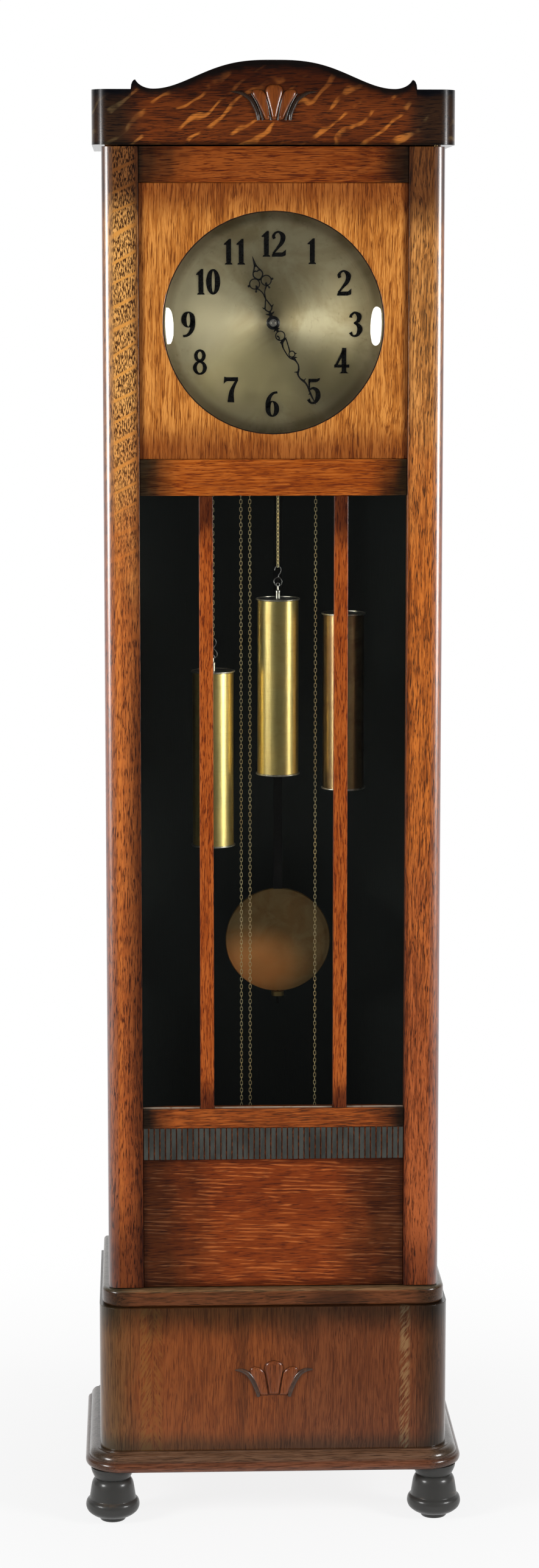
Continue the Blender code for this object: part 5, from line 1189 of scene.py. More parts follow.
def stile_board(sign):
    """Door stile: a straight board whose outer edge is a half round."""
    turn = np.linspace(-np.pi / 2, np.pi / 2, 33)
    nose = np.column_stack([STILE_NOSE_START + STILE_NOSE * np.cos(turn),
                            STILE_LOW.y + STILE_NOSE + STILE_NOSE * np.sin(turn)])
    plan = np.concatenate([[(STILE_LOW.x, STILE_LOW.y)], nose, [(STILE_LOW.x, STILE_HIGH.y)]]) * (sign, 1)
    heights = np.linspace(STILE_LOW.z, STILE_HIGH.z, 13)
    return loft([np.column_stack([plan, np.full(len(plan), z)]) for z in heights])


def make_rails():
    """Door rails and glazing bars: grain along each, dark towards its ends."""
    for node, tones, clear, full, shift in (("door_top_rail", RAIL, 0.078, -0.004, 0.2),
                                            ("door_middle_rail", MIDDLE_RAIL, 0.064, 0.004, 0.55),
                                            ("door_lower_rail", LOWER_RAIL, 0.055, 0.004, 0.8)):
        low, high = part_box(node)
        oak = oak_board(node + "_oak", tones, upright=False, rays=RAIL_RAYS, shift=shift,
                        shades=both_ends("X", low.x, high.x, clear, full, (0.06, 0.14, 0.50)))
        finish_node(node, oak, EDGE_EASE)
    for node, shift in (("glazing_bar_left", 0.35), ("glazing_bar_right", 0.66)):
        low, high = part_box(node)
        oak = oak_board(node + "_oak", BAR, dash=FINE_DASH, shift=shift,
                        shades=[("Z", high.z - 0.085, high.z - 0.030, (0.25, 0.24, 0.40)),
                                ("Z", low.z + 0.050, low.z + 0.010, (0.30, 0.26, 0.40))])
        finish_node(node, oak, BAR_EASE)


def make_panels():
    """The golden panel round the dial and the red one at the door's foot."""
    low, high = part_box("door_dial_panel")
    golden = oak_board("dial_panel_oak", GOLDEN, dash_share=0.32, contrast=2.9, shift=0.11,
                       shades=[*both_ends("Z", low.z, high.z, 0.060, 0.010, (0.50, 0.38, 0.34)),
                               *both_ends("X", low.x, high.x, 0.012, 0.003, (0.45, 0.38, 0.36))])
    finish_node("door_dial_panel", golden, EDGE_EASE)
    low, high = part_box("door_lower_panel")
    red = oak_board("lower_panel_oak", RED, upright=False, contrast=1.7, rays=LOWER_RAYS, shift=0.77,
                    shades=[*both_ends("X", low.x, high.x, 0.120, 0.015, (0.30, 0.42, 0.80)),
                            *both_ends("Z", low.z, high.z, 0.012, 0.003, (0.55, 0.5, 0.5))])
    finish_node("door_lower_panel", red, EDGE_EASE)


def make_reeds():
    """Reeded strip: upright reeds side by side along X, each a flat face, slightly crowned, between
    two sloped cuts."""
    offset = np.array([-1, -0.88, -0.76, -0.66, -0.33, 0, 0.33, 0.66, 0.76, 0.88])
    pitch = (REED_HIGH.x - REED_LOW.x) / REED_COUNT
    reed = np.arange(REED_COUNT)[:, None]
    x = np.append((REED_LOW.x + (reed + 0.5 + 0.5 * offset) * pitch).ravel(), REED_HIGH.x)
    off = np.append(np.tile(offset, REED_COUNT), 1.0)
    cut = np.clip((np.abs(off) - REED_FLAT) / (1 - REED_FLAT), 0, 1)
    y = REED_LOW.y + REED_CROWN * off ** 2 + REED_CUT * cut ** 0.8
    front = np.column_stack([x, y])
    back = np.column_stack([x, np.full(len(x), REED_HIGH.y)])
    place("reeded_strip", [wall(front, back, REED_LOW.z, REED_HIGH.z)], reed_black(), "door",
          ("door_reeded_strip",), crease=30)


def reed_black():
    """Worn black paint: green-grey on the reeds' faces, brown in their cuts, with bare orange specks."""
    material, tree, shader, place_at = new_material("reeded_black")
    worn = noise(tree, place_at, (60.0, 60.0, 18.0), 4.0, 0.62)
    specks = noise(tree, place_at, (420.0, 420.0, 150.0), 3.0, 0.6)
    face = tint(tree, between(tree, worn, 0.35, 0.65), *REED_FACE)
    groove = tint(tree, between(tree, specks, 0.45, 0.68), *REED_GROOVE)
    deep = between(tree, apart(tree, place_at)[1], REED_LOW.y + 0.0003, REED_LOW.y + 0.0008)
    fill(tree, shader, {
        "Base Color": tint(tree, deep, face, groove), "Roughness": between(tree, worn, 0.3, 0.7, 0.38, 0.52),
        "Normal": bump(tree, specks, 0.10, 0.0003), "Specular IOR Level": WOOD_SPECULAR})
    return material


def make_glazing_beads():
    """A pale quarter-round bead along the foot of each pane, its pale tone partly putty and partly a painted
    highlight.
    """
    pale = dark_coat("bead_putty_and_highlight", BEAD_PUTTY_AND_HIGHLIGHT, 0.50, (120.0, 60.0, 60.0), 0.50, 0.1)
    rail_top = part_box("door_lower_rail")[1].z + 0.0001
    turn = np.linspace(0, np.pi / 2, 7)
    for node in ("pane_left", "pane_centre", "pane_right"):
        low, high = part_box(node)
        back = low.y - 0.0004
        round_edge = np.column_stack([back - BEAD_SIZE * np.cos(turn), rail_top + BEAD_SIZE * np.sin(turn)])
        section = np.concatenate([[(back, rail_top)], round_edge])
        ends = [np.column_stack([np.full(len(section), x), section])
                for x in (low.x + 0.0006, high.x - 0.0006)]
        place(node + "_bead", [loft(ends)], pale, "door", crease=40)


# Dial

def edge_line(across, up):
    """One edge of a figure through the points given by their places across and up."""
    return np.column_stack([np.asarray(across, float), np.asarray(up, float)])


def figure(digit):
    """Edge pairs of one old-style figure, one unit tall, its foot's middle at the origin, as (edge,
    edge, closed)."""
    if digit == "0":
        return [(oval((0, 0.5), 0.278, 0.5), oval((0, 0.5), 0.064, 0.415), True)]
    if digit == "1":
        left = edge_line([-0.14, -0.13, -0.075, -0.085, -0.085, -0.17, -0.185, 0.03],
                         [0.0, 0.045, 0.075, 0.16, 0.765, 0.765, 0.80, 1.0])
        right = edge_line([0.16, 0.15, 0.10, 0.105, 0.105, 0.105, 0.105, 0.105],
                          [0.0, 0.045, 0.075, 0.16, 0.765, 0.80, 0.86, 1.0])
        return [(left, right, False)]
    if digit == "2":
        bowl = pen([(-0.16, 0.70), (-0.20, 0.80), (-0.12, 0.925), (0.02, 0.955), (0.165, 0.80), (0.13, 0.57),
                    (-0.04, 0.34), (-0.22, 0.12)], [0.055, 0.062, 0.042, 0.045, 0.098, 0.085, 0.050, 0.036])
        foot = (edge_line([-0.275, -0.16, 0.0, 0.14, 0.275], [0.0, 0.0, 0.0, 0.0, 0.05]),
                edge_line([-0.26, -0.15, 0.0, 0.15, 0.292], [0.10, 0.155, 0.165, 0.165, 0.285]), False)
        return [(*bowl, False), foot]
    if digit == "3":
        upper = pen([(-0.19, 0.755), (-0.17, 0.86), (-0.03, 0.955), (0.13, 0.83), (0.10, 0.635),
                     (-0.07, 0.535)],
                    [0.062, 0.050, 0.044, 0.092, 0.070, 0.026])
        lower = pen([(-0.07, 0.545), (0.09, 0.475), (0.165, 0.29), (0.06, 0.075), (-0.11, 0.05),
                     (-0.20, 0.185)],
                    [0.026, 0.070, 0.102, 0.060, 0.042, 0.068])
        return [(*upper, False), (*lower, False)]
    if digit == "4":
        stem = (edge_line([-0.10, -0.02, 0.0, 0.0, 0.02], [0.0, 0.05, 0.10, 0.75, 1.0]),
                edge_line([0.28, 0.20, 0.185, 0.185, 0.185], [0.0, 0.05, 0.10, 0.75, 1.0]), False)
        slope = (edge_line([-0.29, -0.12, 0.06], [0.275, 0.60, 0.98]),
                 edge_line([-0.15, -0.035, 0.10], [0.345, 0.56, 0.80]), False)
        bar = (edge_line([-0.29, 0.30], [0.225, 0.225]), edge_line([-0.29, 0.30], [0.345, 0.345]), False)
        return [stem, slope, bar]
    if digit == "5":
        flag = (edge_line([-0.19, 0.0, 0.14, 0.25], [0.845, 0.855, 0.86, 0.93]),
                edge_line([-0.19, 0.0, 0.16, 0.27], [0.985, 0.985, 0.985, 1.03]), False)
        back = (edge_line([-0.20, -0.185], [0.50, 0.97]), edge_line([-0.135, -0.12], [0.56, 0.93]), False)
        bowl = pen([(-0.165, 0.545), (0.0, 0.62), (0.155, 0.51), (0.185, 0.28), (0.07, 0.07), (-0.10, 0.05),
                    (-0.195, 0.185)], [0.028, 0.050, 0.085, 0.098, 0.060, 0.042, 0.068])
        return [flag, back, (*bowl, False)]
    if digit == "6":
        bowl = (oval((0, 0.315), 0.270, 0.315), oval((-0.004, 0.325), 0.072, 0.262), True)
        rise = pen([(-0.172, 0.34), (-0.175, 0.56), (-0.11, 0.77), (0.03, 0.925), (0.20, 0.965)],
                   [0.098, 0.092, 0.075, 0.052, 0.046])
        return [bowl, (*rise, False)]
    if digit == "7":
        bar = (edge_line([-0.285, -0.225, -0.15, 0.10, 0.28], [0.715, 0.79, 0.825, 0.825, 0.83]),
               edge_line([-0.270, -0.245, -0.18, 0.10, 0.28], [1.0, 1.0, 0.985, 0.985, 0.985]), False)
        stem = pen([(0.235, 0.87), (0.10, 0.62), (0.015, 0.36), (-0.005, 0.0)], [0.045, 0.066, 0.098, 0.132])
        return [bar, (*stem, False)]
    if digit == "8":
        upper = (oval((0.0, 0.745), 0.228, 0.255), oval((0.0, 0.755), 0.088, 0.150), True)
        lower = (oval((0.0, 0.275), 0.272, 0.275), oval((0.0, 0.275), 0.122, 0.195), True)
        return [upper, lower]
    flipped = figure("6")
    return [(np.array([0, 1]) - a, np.array([0, 1]) - b, closed) for a, b, closed in flipped]


def numeral_shells(hour, centre):
    """The plates of one hour's figures, set side by side about the centre."""
    digits = str(hour)
    shells = []
    for index, digit in enumerate(digits):
        middle = centre[0] + (index - 0.5 * (len(digits) - 1)) * NUMERAL_PITCH
        origin = np.array([middle, DIAL_CENTRE_Z + centre[1] - 0.5 * NUMERAL_HEIGHT])
        for edge_a, edge_b, closed in figure(digit):
            shells.append(flat_band(origin + edge_a * NUMERAL_HEIGHT, origin + edge_b * NUMERAL_HEIGHT,
                                    DIAL_FRONT_Y - NUMERAL_THICKNESS, DIAL_FRONT_Y + 0.0002, closed))
    return shells


def make_dial():
    """Brass dial plate, numerals, hands and domed glass, ringed by a dark seat that is also painted shadow in
    the gap round the glass.
    """
    make_dial_plate()
    black = dark_coat("numeral_black", NUMERAL_BLACK, 0.28, (160.0, 160.0, 160.0), 0.6, 0)
    shells = [shell for hour, spot in NUMERAL_PLACES.items() for shell in numeral_shells(hour, spot)]
    place("dial_numerals", shells, black, "case", crease=50)
    make_hands()
    glass = clear_glass("dome_glass", DOME_TONE, 0.02)
    place("dial_dome", [dome()], glass, "door", ("dial_glass",), crease=60)
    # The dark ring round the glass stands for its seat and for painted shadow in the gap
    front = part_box("door_dial_panel")[0].y + SEAT_GAP
    seat = [(SEAT_INNER, front), (SEAT_OUTER, front), (SEAT_OUTER, front + SEAT_DEPTH),
            (SEAT_INNER, front + SEAT_DEPTH)]
    dark = dark_coat("gap_shadow_and_seat", GAP_SHADOW_AND_SEAT, 0.5, (60.0, 60.0, 60.0), 0.55, 0.2)
    place("gap_shadow_ring", [ring_turned(seat, (0, 0, DIAL_CENTRE_Z), "Y", DIAL_STEPS)], dark, "door",
          crease=40)


def make_dial_plate():
    """Dial plate: a disc with a broken rim and a small hole, its brush lines round the middle."""
    # The dial's patches are painted reflection, and its darker rim is painted shade
    plate = brass_finish("dial_brass", DIAL_BRASS, 0.50, lines=(900.0, 3.0, 1.0), anisotropy=0.6,
                         bump_strength=0.08, cloud_scale=11.0, painted_light=DIAL_PAINTED_LIGHT, rim=DIAL_RIM_PAINTED_SHADE)
    rim = [(DIAL_HOLE, DIAL_HIGH.y), (DIAL_RADIUS, DIAL_HIGH.y), (DIAL_RADIUS, DIAL_FRONT_Y + 0.0006),
           (DIAL_RADIUS - 0.0006, DIAL_FRONT_Y)]
    rings = np.linspace(DIAL_RADIUS - 0.0012, DIAL_HOLE + 0.001, 24)
    profile = np.concatenate([rim, np.column_stack([rings, np.full(len(rings), DIAL_FRONT_Y)]),
                              [(DIAL_HOLE, DIAL_FRONT_Y + 0.001)]])
    disc = place("dial_plate_disc", [ring_turned(profile, (0, 0, DIAL_CENTRE_Z), "Y", DIAL_STEPS)], plate,
                 "case", ("dial_plate",), crease=40)
    unroll_disc(disc, 0.0, DIAL_CENTRE_Z, DIAL_RADIUS)


def unroll_disc(disc, centre_x, centre_z, radius):
    """Gives a disc that faces the front its map: U from its middle to its rim, V round it."""
    unroll(disc, lambda p: np.hypot(p[:, 0] - centre_x, p[:, 2] - centre_z) / radius,
           lambda p: np.arctan2(p[:, 0] - centre_x, p[:, 2] - centre_z) / (2 * np.pi))


def dome():
    """Domed glass: height falls from the middle by a power of the radius, with the inner skin a
    thickness behind."""
    share = np.linspace(0, 1, 40) ** 0.8
    radius = np.maximum(share * GLASS_RADIUS, POLE_RADIUS)
    rise = GLASS_HIGH.y - GLASS_LOW.y - GLASS_THICKNESS
    front_y = GLASS_LOW.y + rise * share ** GLASS_FLATNESS
    outer = np.column_stack([radius, front_y])
    inner_share = share[::-1]
    inner_radius = np.maximum(inner_share * (GLASS_RADIUS - 0.0006), POLE_RADIUS)
    inner = np.column_stack([inner_radius,
                             GLASS_LOW.y + GLASS_THICKNESS + rise * inner_share ** GLASS_FLATNESS])
    return turned(np.concatenate([outer, inner]), (0, 0, DIAL_CENTRE_Z), "Y", 128)


# Hands

def in_mm(points):
    """Points given in millimetres, in metres."""
    return np.asarray(points, float) * MM


def hand_stroke(points, half_widths, front, steps=8):
    """A flat smooth stroke of a hand, in millimetres from the arbor, the hand pointing up."""
    edges = pen(in_mm(points), in_mm(half_widths), steps)
    return flat_band(*edges, front, front + HAND_THICKNESS)


def hand_loop(points, half_width, front):
    """A flat closed loop of a hand through the points, in millimetres."""
    points = in_mm(points)
    line = ease_through(np.concatenate([points[-1:], points, points[:2]]), 8)[8:-8]
    edges = stroke(line[:-1], half_width * MM, closed=True)
    return flat_band(*edges, front, front + HAND_THICKNESS, closed=True)


def hand_ring(centre, radius, half_width, front):
    """A flat ring of a hand, in millimetres."""
    outer = oval(in_mm(centre), (radius + half_width) * MM, (radius + half_width) * MM, 36)
    inner = oval(in_mm(centre), (radius - half_width) * MM, (radius - half_width) * MM, 36)
    return flat_band(outer, inner, front, front + HAND_THICKNESS, closed=True)


def hand_ball(centre, radius, front):
    """A small round end of a hand, in millimetres."""
    rise = HAND_THICKNESS
    profile = [(0.02 * MM, front), (0.75 * radius * MM, front), (radius * MM, front + 0.3 * rise),
               (radius * MM, front + rise), (0.02 * MM, front + rise)]
    return turned(profile, (centre[0] * MM, 0, centre[1] * MM), "Y", 16)


def hour_hand():
    """Hour hand: hub, collar barbs, lyre loop, two side rings with ball ends, a pierced leaf and a needle."""
    front = HOUR_FRONT_Y
    parts = [hand_stroke([(0, 6), (0, 11), (0, 15.5)], [3.2, 2.0, 1.6], front),
             hand_loop([(0, 15.3), (4.4, 19.4), (2.6, 26), (0, 31.5), (-2.6, 26), (-4.4, 19.4)], 0.85, front),
             hand_stroke([(0, 30), (0, 34), (0, 37)], [1.2, 1.0, 1.3], front),
             hand_stroke([(0, 58), (0, 60.5)], [1.6, 1.2], front),
             hand_loop([(0, 59.5), (5.2, 63.2), (6.2, 68), (3.0, 74), (0, 79.5), (-3.0, 74), (-6.2, 68),
                        (-5.2, 63.2)], 0.9, front),
             hand_stroke([(-5.4, 70.5), (-2, 71.4), (0, 70.2), (2, 71.4), (5.0, 70.5)],
                         [0.5, 1.0, 0.7, 1.0, 0.5], front),
             hand_stroke([(0, 76.5), (0, 80), (0, 85), (0, 91)], [1.6, 1.7, 1.1, 0.2], front)]
    for sign in (-1, 1):
        parts += [
            hand_stroke([(0.5 * sign, 11.2), (3.2 * sign, 12.3), (5.9 * sign, 13.7)], [1.3, 1.1, 0.3], front),
            hand_stroke([(3.9 * sign, 20.3), (5.6 * sign, 21.3), (7.7 * sign, 23.2)], [1.2, 1.0, 0.3], front),
            hand_stroke([(0.2 * sign, 35), (1.4 * sign, 41.5), (4.4 * sign, 46.6), (7.3 * sign, 49.4)],
                        [1.0, 0.75, 0.9, 1.2], front),
            hand_ring((8.0 * sign, 55.7), 6.6, 0.72, front),
            hand_stroke([(7.0 * sign, 49.4), (6.6 * sign, 51.6), (7.6 * sign, 53.2)], [1.3, 1.5, 0.4], front),
            hand_stroke([(7.2 * sign, 49.6), (8.4 * sign, 47.6), (9.0 * sign, 46.2)], [1.2, 0.8, 0.9], front),
            hand_ball((9.1 * sign, 45.6), 1.45, front),
            hand_stroke([(14.0 * sign, 55.6), (16.2 * sign, 55.4)], [0.8, 1.0], front),
            hand_ball((16.3 * sign, 55.3), 1.5, front)]
    return parts


def minute_hand():
    """Minute hand: hub, a ring with an inner curl, barbed leaves, twin strands, an S-curved stem and
    a needle."""
    front = MINUTE_FRONT_Y
    return [
        hand_stroke([(0, 6), (0, 10), (0, 13.5)], [3.0, 1.9, 1.5], front),
        hand_stroke([(0.4, 9.2), (2.7, 9.9), (4.7, 11.0)], [1.2, 1.0, 0.3], front),
        hand_stroke([(-0.4, 9.2), (-2.3, 9.7), (-4.1, 10.6)], [1.2, 1.0, 0.3], front),
        hand_ring((-0.3, 19.4), 6.1, 0.75, front),
        hand_stroke([(4.2, 23.6), (2.2, 21.2), (2.9, 18.4), (4.0, 17.4)], [0.9, 0.9, 0.9, 0.5], front),
        hand_ball((3.0, 18.6), 1.2, front),
        hand_stroke([(-5.6, 25.4), (-2, 26.2), (1.2, 27.8), (3.2, 31.6)], [0.9, 1.7, 2.0, 1.0], front),
        hand_stroke([(-3.5, 26.2), (-6.6, 25.0)], [1.0, 0.25], front),
        hand_stroke([(1.4, 27.4), (3.2, 27.4), (4.5, 28.0)], [1.2, 0.9, 0.25], front),
        hand_stroke([(2.2, 31.0), (3.4, 32.4), (4.6, 33.6)], [1.2, 0.9, 0.25], front),
        hand_stroke([(2.4, 30.2), (3.7, 35.5), (3.6, 41.5), (3.0, 47.5), (1.2, 52.2), (-1.6, 54.8)],
                    [1.2, 0.9, 0.8, 0.8, 0.9, 1.2], front),
        hand_stroke([(-5.0, 26.2), (-4.4, 31), (-3.3, 36.5), (-2.0, 42.5), (-0.5, 45.0)],
                    [0.9, 0.8, 0.8, 0.9, 0.6], front),
        hand_ring((-2.7, 47.8), 3.9, 0.72, front),
        hand_stroke([(-5.6, 49.4), (-7.4, 49.2), (-9.0, 49.8)], [1.0, 0.8, 0.25], front),
        hand_stroke([(-3.6, 53.4), (-5.2, 54.0), (-6.8, 55.2)], [1.2, 0.8, 0.25], front),
        hand_stroke([(-1.0, 51.0), (-2.2, 54.2), (-3.3, 59), (-3.5, 64.5), (-1.2, 70), (1.9, 73.4), (2.9, 77),
                     (2.3, 81.6), (0.4, 85.6), (-1.1, 90.4), (-1.1, 97), (-0.5, 103.5), (0, 110), (0, 121.3)],
                    [1.3, 1.9, 1.0, 0.95, 1.2, 1.4, 1.0, 1.0, 1.5, 1.1, 1.0, 1.2, 1.1, 0.2], front),
        hand_stroke([(1.4, 72.6), (3.4, 71.2), (5.6, 70.0)], [1.1, 0.8, 0.25], front),
        hand_stroke([(-0.2, 86.2), (-2.2, 85.4), (-4.4, 84.6)], [1.2, 0.8, 0.25], front),
        hand_stroke([(-0.4, 104.6), (1.2, 104.9), (2.8, 105.2)], [1.0, 0.8, 0.25], front)]


def hub(front, back, radius):
    """Round hub of a hand with a broken front edge."""
    return turned([(POLE_RADIUS, front), (radius - 0.0007, front), (radius, front + 0.0007), (radius, back),
                   (POLE_RADIUS, back)], (0, 0, 0), "Y", 48)


def make_hands():
    """Both hands in blued-black steel with their hubs, and the bright pin that holds them."""
    black = dark_coat("hand_black", HAND_BLACK, 0.30, (120.0, 120.0, 120.0), 0.62)
    centre = (0.0, DIAL_CENTRE_Z)
    hour_shells = hour_hand() + [hub(HOUR_FRONT_Y, HOUR_HIGH.y, HOUR_HUB_RADIUS)]
    hour = [tilt(shell, HOUR_HAND_ANGLE, centre) for shell in hour_shells]
    place("hour_hand_pierced", hour, black, "hour_hand_body", ("hour_hand",), crease=50)
    minute_shells = minute_hand() + [hub(MINUTE_FRONT_Y, MINUTE_FRONT_Y + MINUTE_HUB_DEPTH,
                                         MINUTE_HUB_RADIUS)]
    minute = [tilt(shell, MINUTE_HAND_ANGLE, centre) for shell in minute_shells]
    place("minute_hand_pierced", minute, black, "minute_hand_body", ("minute_hand",),
          crease=50)
    bright = steel_finish("bright_pin", PIN_STEEL, 0.25)
    place("hand_pin", [hand_pin()], bright, "minute_hand_body")


def hand_pin():
    """Pin that holds the hands, as (radius, place along Y): a small nose, a cone and a flat collar."""
    tip, end = MINUTE_LOW.y, MINUTE_FRONT_Y + 0.0001
    return turned([(POLE_RADIUS, tip), (0.0022, tip), (0.0026, tip + 0.0004), (0.0030, tip + 0.0010),
                   (0.0046, tip + 0.0012), (0.0050, tip + 0.0020), (0.0050, end), (POLE_RADIUS, end)],
                  (0, 0, DIAL_CENTRE_Z), "Y", 32)


# Weights, chains and pendulum

def chain_links(centres, along, across, first_turn):
    """Chain links: one stadium of round wire, set at every centre along its direction, turned by
    quarters in turn."""
    step = np.arange(LINK_STEPS) * 2 * np.pi / LINK_STEPS
    straight = 0.5 * (LINK_PITCH + LINK_WIRE - (LINK_WIDTH - LINK_WIRE))
    radius = 0.5 * (LINK_WIDTH - LINK_WIRE)
    out = np.stack([np.sin(step), np.cos(step)], axis=-1)
    line = radius * out + np.stack([0 * step, straight * np.sign(np.cos(step + 0.01))], axis=-1)
    round_wire = (np.arange(LINK_SIDES) + 0.5) * 2 * np.pi / LINK_SIDES
    half = 0.5 * LINK_WIRE
    x = line[:, :1] + half * np.cos(round_wire) * out[:, :1]
    z = line[:, 1:] + half * np.cos(round_wire) * out[:, 1:]
    y = half * np.sin(round_wire)[None, :] + 0 * x
    link = np.stack([x, y, z], axis=-1).reshape(-1, 3)
    count = len(centres)
    turn = first_turn + 0.5 * np.pi * np.arange(count)[:, None, None]
    depth = np.array([0.0, 1.0, 0.0])
    local_x, local_y, local_z = link[None, :, :1], link[None, :, 1:2], link[None, :, 2:]
    side = np.cos(turn) * local_x - np.sin(turn) * local_y
    deep = np.sin(turn) * local_x + np.cos(turn) * local_y
    points = (centres[:, None, :] + side * across[:, None, :] + deep * depth + local_z * along[:, None, :])
    per_link = LINK_STEPS * LINK_SIDES
    faces = loft(np.zeros((LINK_STEPS, LINK_SIDES, 3)), closed=True)[1][0]
    every = (faces[None] + (np.arange(count) * per_link)[:, None, None]).reshape(-1, 4)
    return points.reshape(-1, 3), [every]


def hanging_links(x, high, low, first_turn):
    """Links of a straight hanging strand, evenly spread between two heights."""
    count = max(int(round((high - low) / LINK_PITCH)), 1)
    z = high - (np.arange(count) + 0.5) * (high - low) / count
    centres = np.column_stack([np.full(count, x), np.full(count, CHAIN_Y), z])
    along = np.tile([0.0, 0.0, -1.0], (count, 1))
    across = np.tile([1.0, 0.0, 0.0], (count, 1))
    return chain_links(centres, along, across, first_turn)


def wrapped_links(middle_x, first_turn):
    """Links of the chain over its sprocket: a half circle from one strand to the other."""
    count = int(round(np.pi * CHAIN_WRAP_RADIUS / LINK_PITCH))
    angle = np.pi * (np.arange(count) + 0.5) / count
    centres = np.column_stack([middle_x - CHAIN_WRAP_RADIUS * np.cos(angle), np.full(count, CHAIN_Y),
                               SPROCKET_Z + CHAIN_WRAP_RADIUS * np.sin(angle)])
    along = np.column_stack([np.sin(angle), 0 * angle, np.cos(angle)])
    across = np.column_stack([-np.cos(angle), 0 * angle, np.sin(angle)])
    return chain_links(centres, along, across, first_turn)


def make_weights():
    """Three brass weights on hooks, their chains and the chains' end rings."""
    bright_brass = brass_finish("weight_brass", WEIGHT_BRASS, 0.32, lines=(260.0, 2.0, 1.0), anisotropy=0.2,
                                bump_strength=0.02)
    painted_shade_brass = brass_finish("weight_painted_shade_brass", WEIGHT_PAINTED_SHADE_BRASS, 0.34, lines=(2.0, 220.0, 1.0), anisotropy=0.2,
                              bump_strength=0.03)
    chain_brass = brass_finish("chain_brass", CHAIN_BRASS, 0.46)
    nickel = steel_finish("nickel_fitting", NICKEL, 0.28)
    steel = steel_finish("hook_steel", HOOK_STEEL, 0.34)
    for side in SIDES:
        low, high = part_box("weight_" + side)
        x = 0.5 * (low.x + high.x)
        centre = (x, CHAIN_Y, 0)
        body = "hanging_weight_" + side
        shell_top = low.z + WEIGHT_SHELL
        # The right weight takes the darker copy of the brass: painted shade
        brass = painted_shade_brass if side == "right" else bright_brass
        shell = place("weight_shell_" + side, [turned(weight_profile(low.z, shell_top), centre, "Z", 96)],
                      brass, body, ("weight_" + side,), crease=35)
        unroll(shell, lambda p: p[:, 2] / WEIGHT_SHELL,
               lambda p, x=x: np.arctan2(p[:, 0] - x, p[:, 1] - CHAIN_Y) / (2 * np.pi))
        rims = [ring_turned(rim_profile(z), centre, "Z", 80) for z in (low.z, shell_top - RIM_HEIGHT)]
        place("weight_rims_" + side, rims + [weight_nut(x, shell_top)], nickel, body, crease=35)
        hook = weight_hook(x, shell_top, high.z)
        place("weight_hook_" + side, hook + [weight_lid(x, shell_top)], steel, body, crease=50)
        make_chain(side, x, high.z, chain_brass)


def weight_profile(low, high):
    """Weight shell as (radius, height): a plain tube shut by a flat cap below and a sunk lid above."""
    inner = TUBE_RADIUS - 0.0012
    return [(POLE_RADIUS, low + 0.0012), (TUBE_RADIUS - 0.0006, low + 0.0012), (TUBE_RADIUS, low + 0.0018),
            (TUBE_RADIUS, high - 0.0010), (inner, high - 0.0010), (inner, high - 0.0060),
            (POLE_RADIUS, high - 0.0060)]


def rim_profile(low):
    """Rolled rim as (radius, height): a closed ring, round outside, that grips the tube's end."""
    turn = np.linspace(-np.pi / 2, np.pi / 2, 9)
    half = 0.5 * RIM_HEIGHT
    bead = np.column_stack([WEIGHT_RADIUS - half + half * np.cos(turn), low + half + half * np.sin(turn)])
    return np.concatenate([[(TUBE_RADIUS - 0.0005, low)], bead, [(TUBE_RADIUS - 0.0005, low + RIM_HEIGHT)]])


def weight_lid(x, top):
    """Dark flat lid inside the weight's upper rim: a thin disc as (radius, height)."""
    radius = TUBE_RADIUS - 0.0013
    profile = [(POLE_RADIUS, top - 0.0050), (radius, top - 0.0050), (radius, top - 0.0008),
               (POLE_RADIUS, top - 0.0008)]
    return turned(profile, (x, CHAIN_Y, 0), "Z", 64)


def weight_nut(x, top):
    """Slim round nut that rises from the weight's lid, with the thin rod above it."""
    profile = [(POLE_RADIUS, top - 0.0012), (0.0032, top - 0.0012), (0.0032, top + 0.0074),
               (0.0036, top + 0.0078), (0.0036, top + 0.0100), (0.0030, top + 0.0106),
               (0.0013, top + 0.0110), (0.0012, top + 0.0165), (POLE_RADIUS, top + 0.0168)]
    return turned(profile, (x, CHAIN_Y, 0), "Z", 40)


def weight_hook(x, shell_top, eye_top):
    """S-shaped wire hook: an eye round the rod's loop below, an open hook for the chain above."""
    foot = shell_top + 0.0160
    rise = eye_top - 0.0008 - foot
    loop = oval((x, foot + 0.0016), 0.0022, 0.0026, 20)
    lower = [(0.0022, 0.004), (0.0052, 0.13), (0.0048, 0.30), (0.0008, 0.44), (-0.0042, 0.34),
             (-0.0052, 0.18), (-0.0026, 0.03)]
    upper = [(0.0008, 0.44), (0.0012, 0.55), (0.0034, 0.66), (0.0042, 0.82), (0.0014, 0.975), (-0.0030, 0.93),
             (-0.0044, 0.78)]
    parts = [wire(loop, HOOK_WIRE, CHAIN_Y, 8, closed=True)]
    for points in (lower, upper):
        line = ease_through([(x + px, foot + share * rise) for px, share in points], 8)
        parts.append(wire(line, HOOK_WIRE, CHAIN_Y, 8))
    return parts


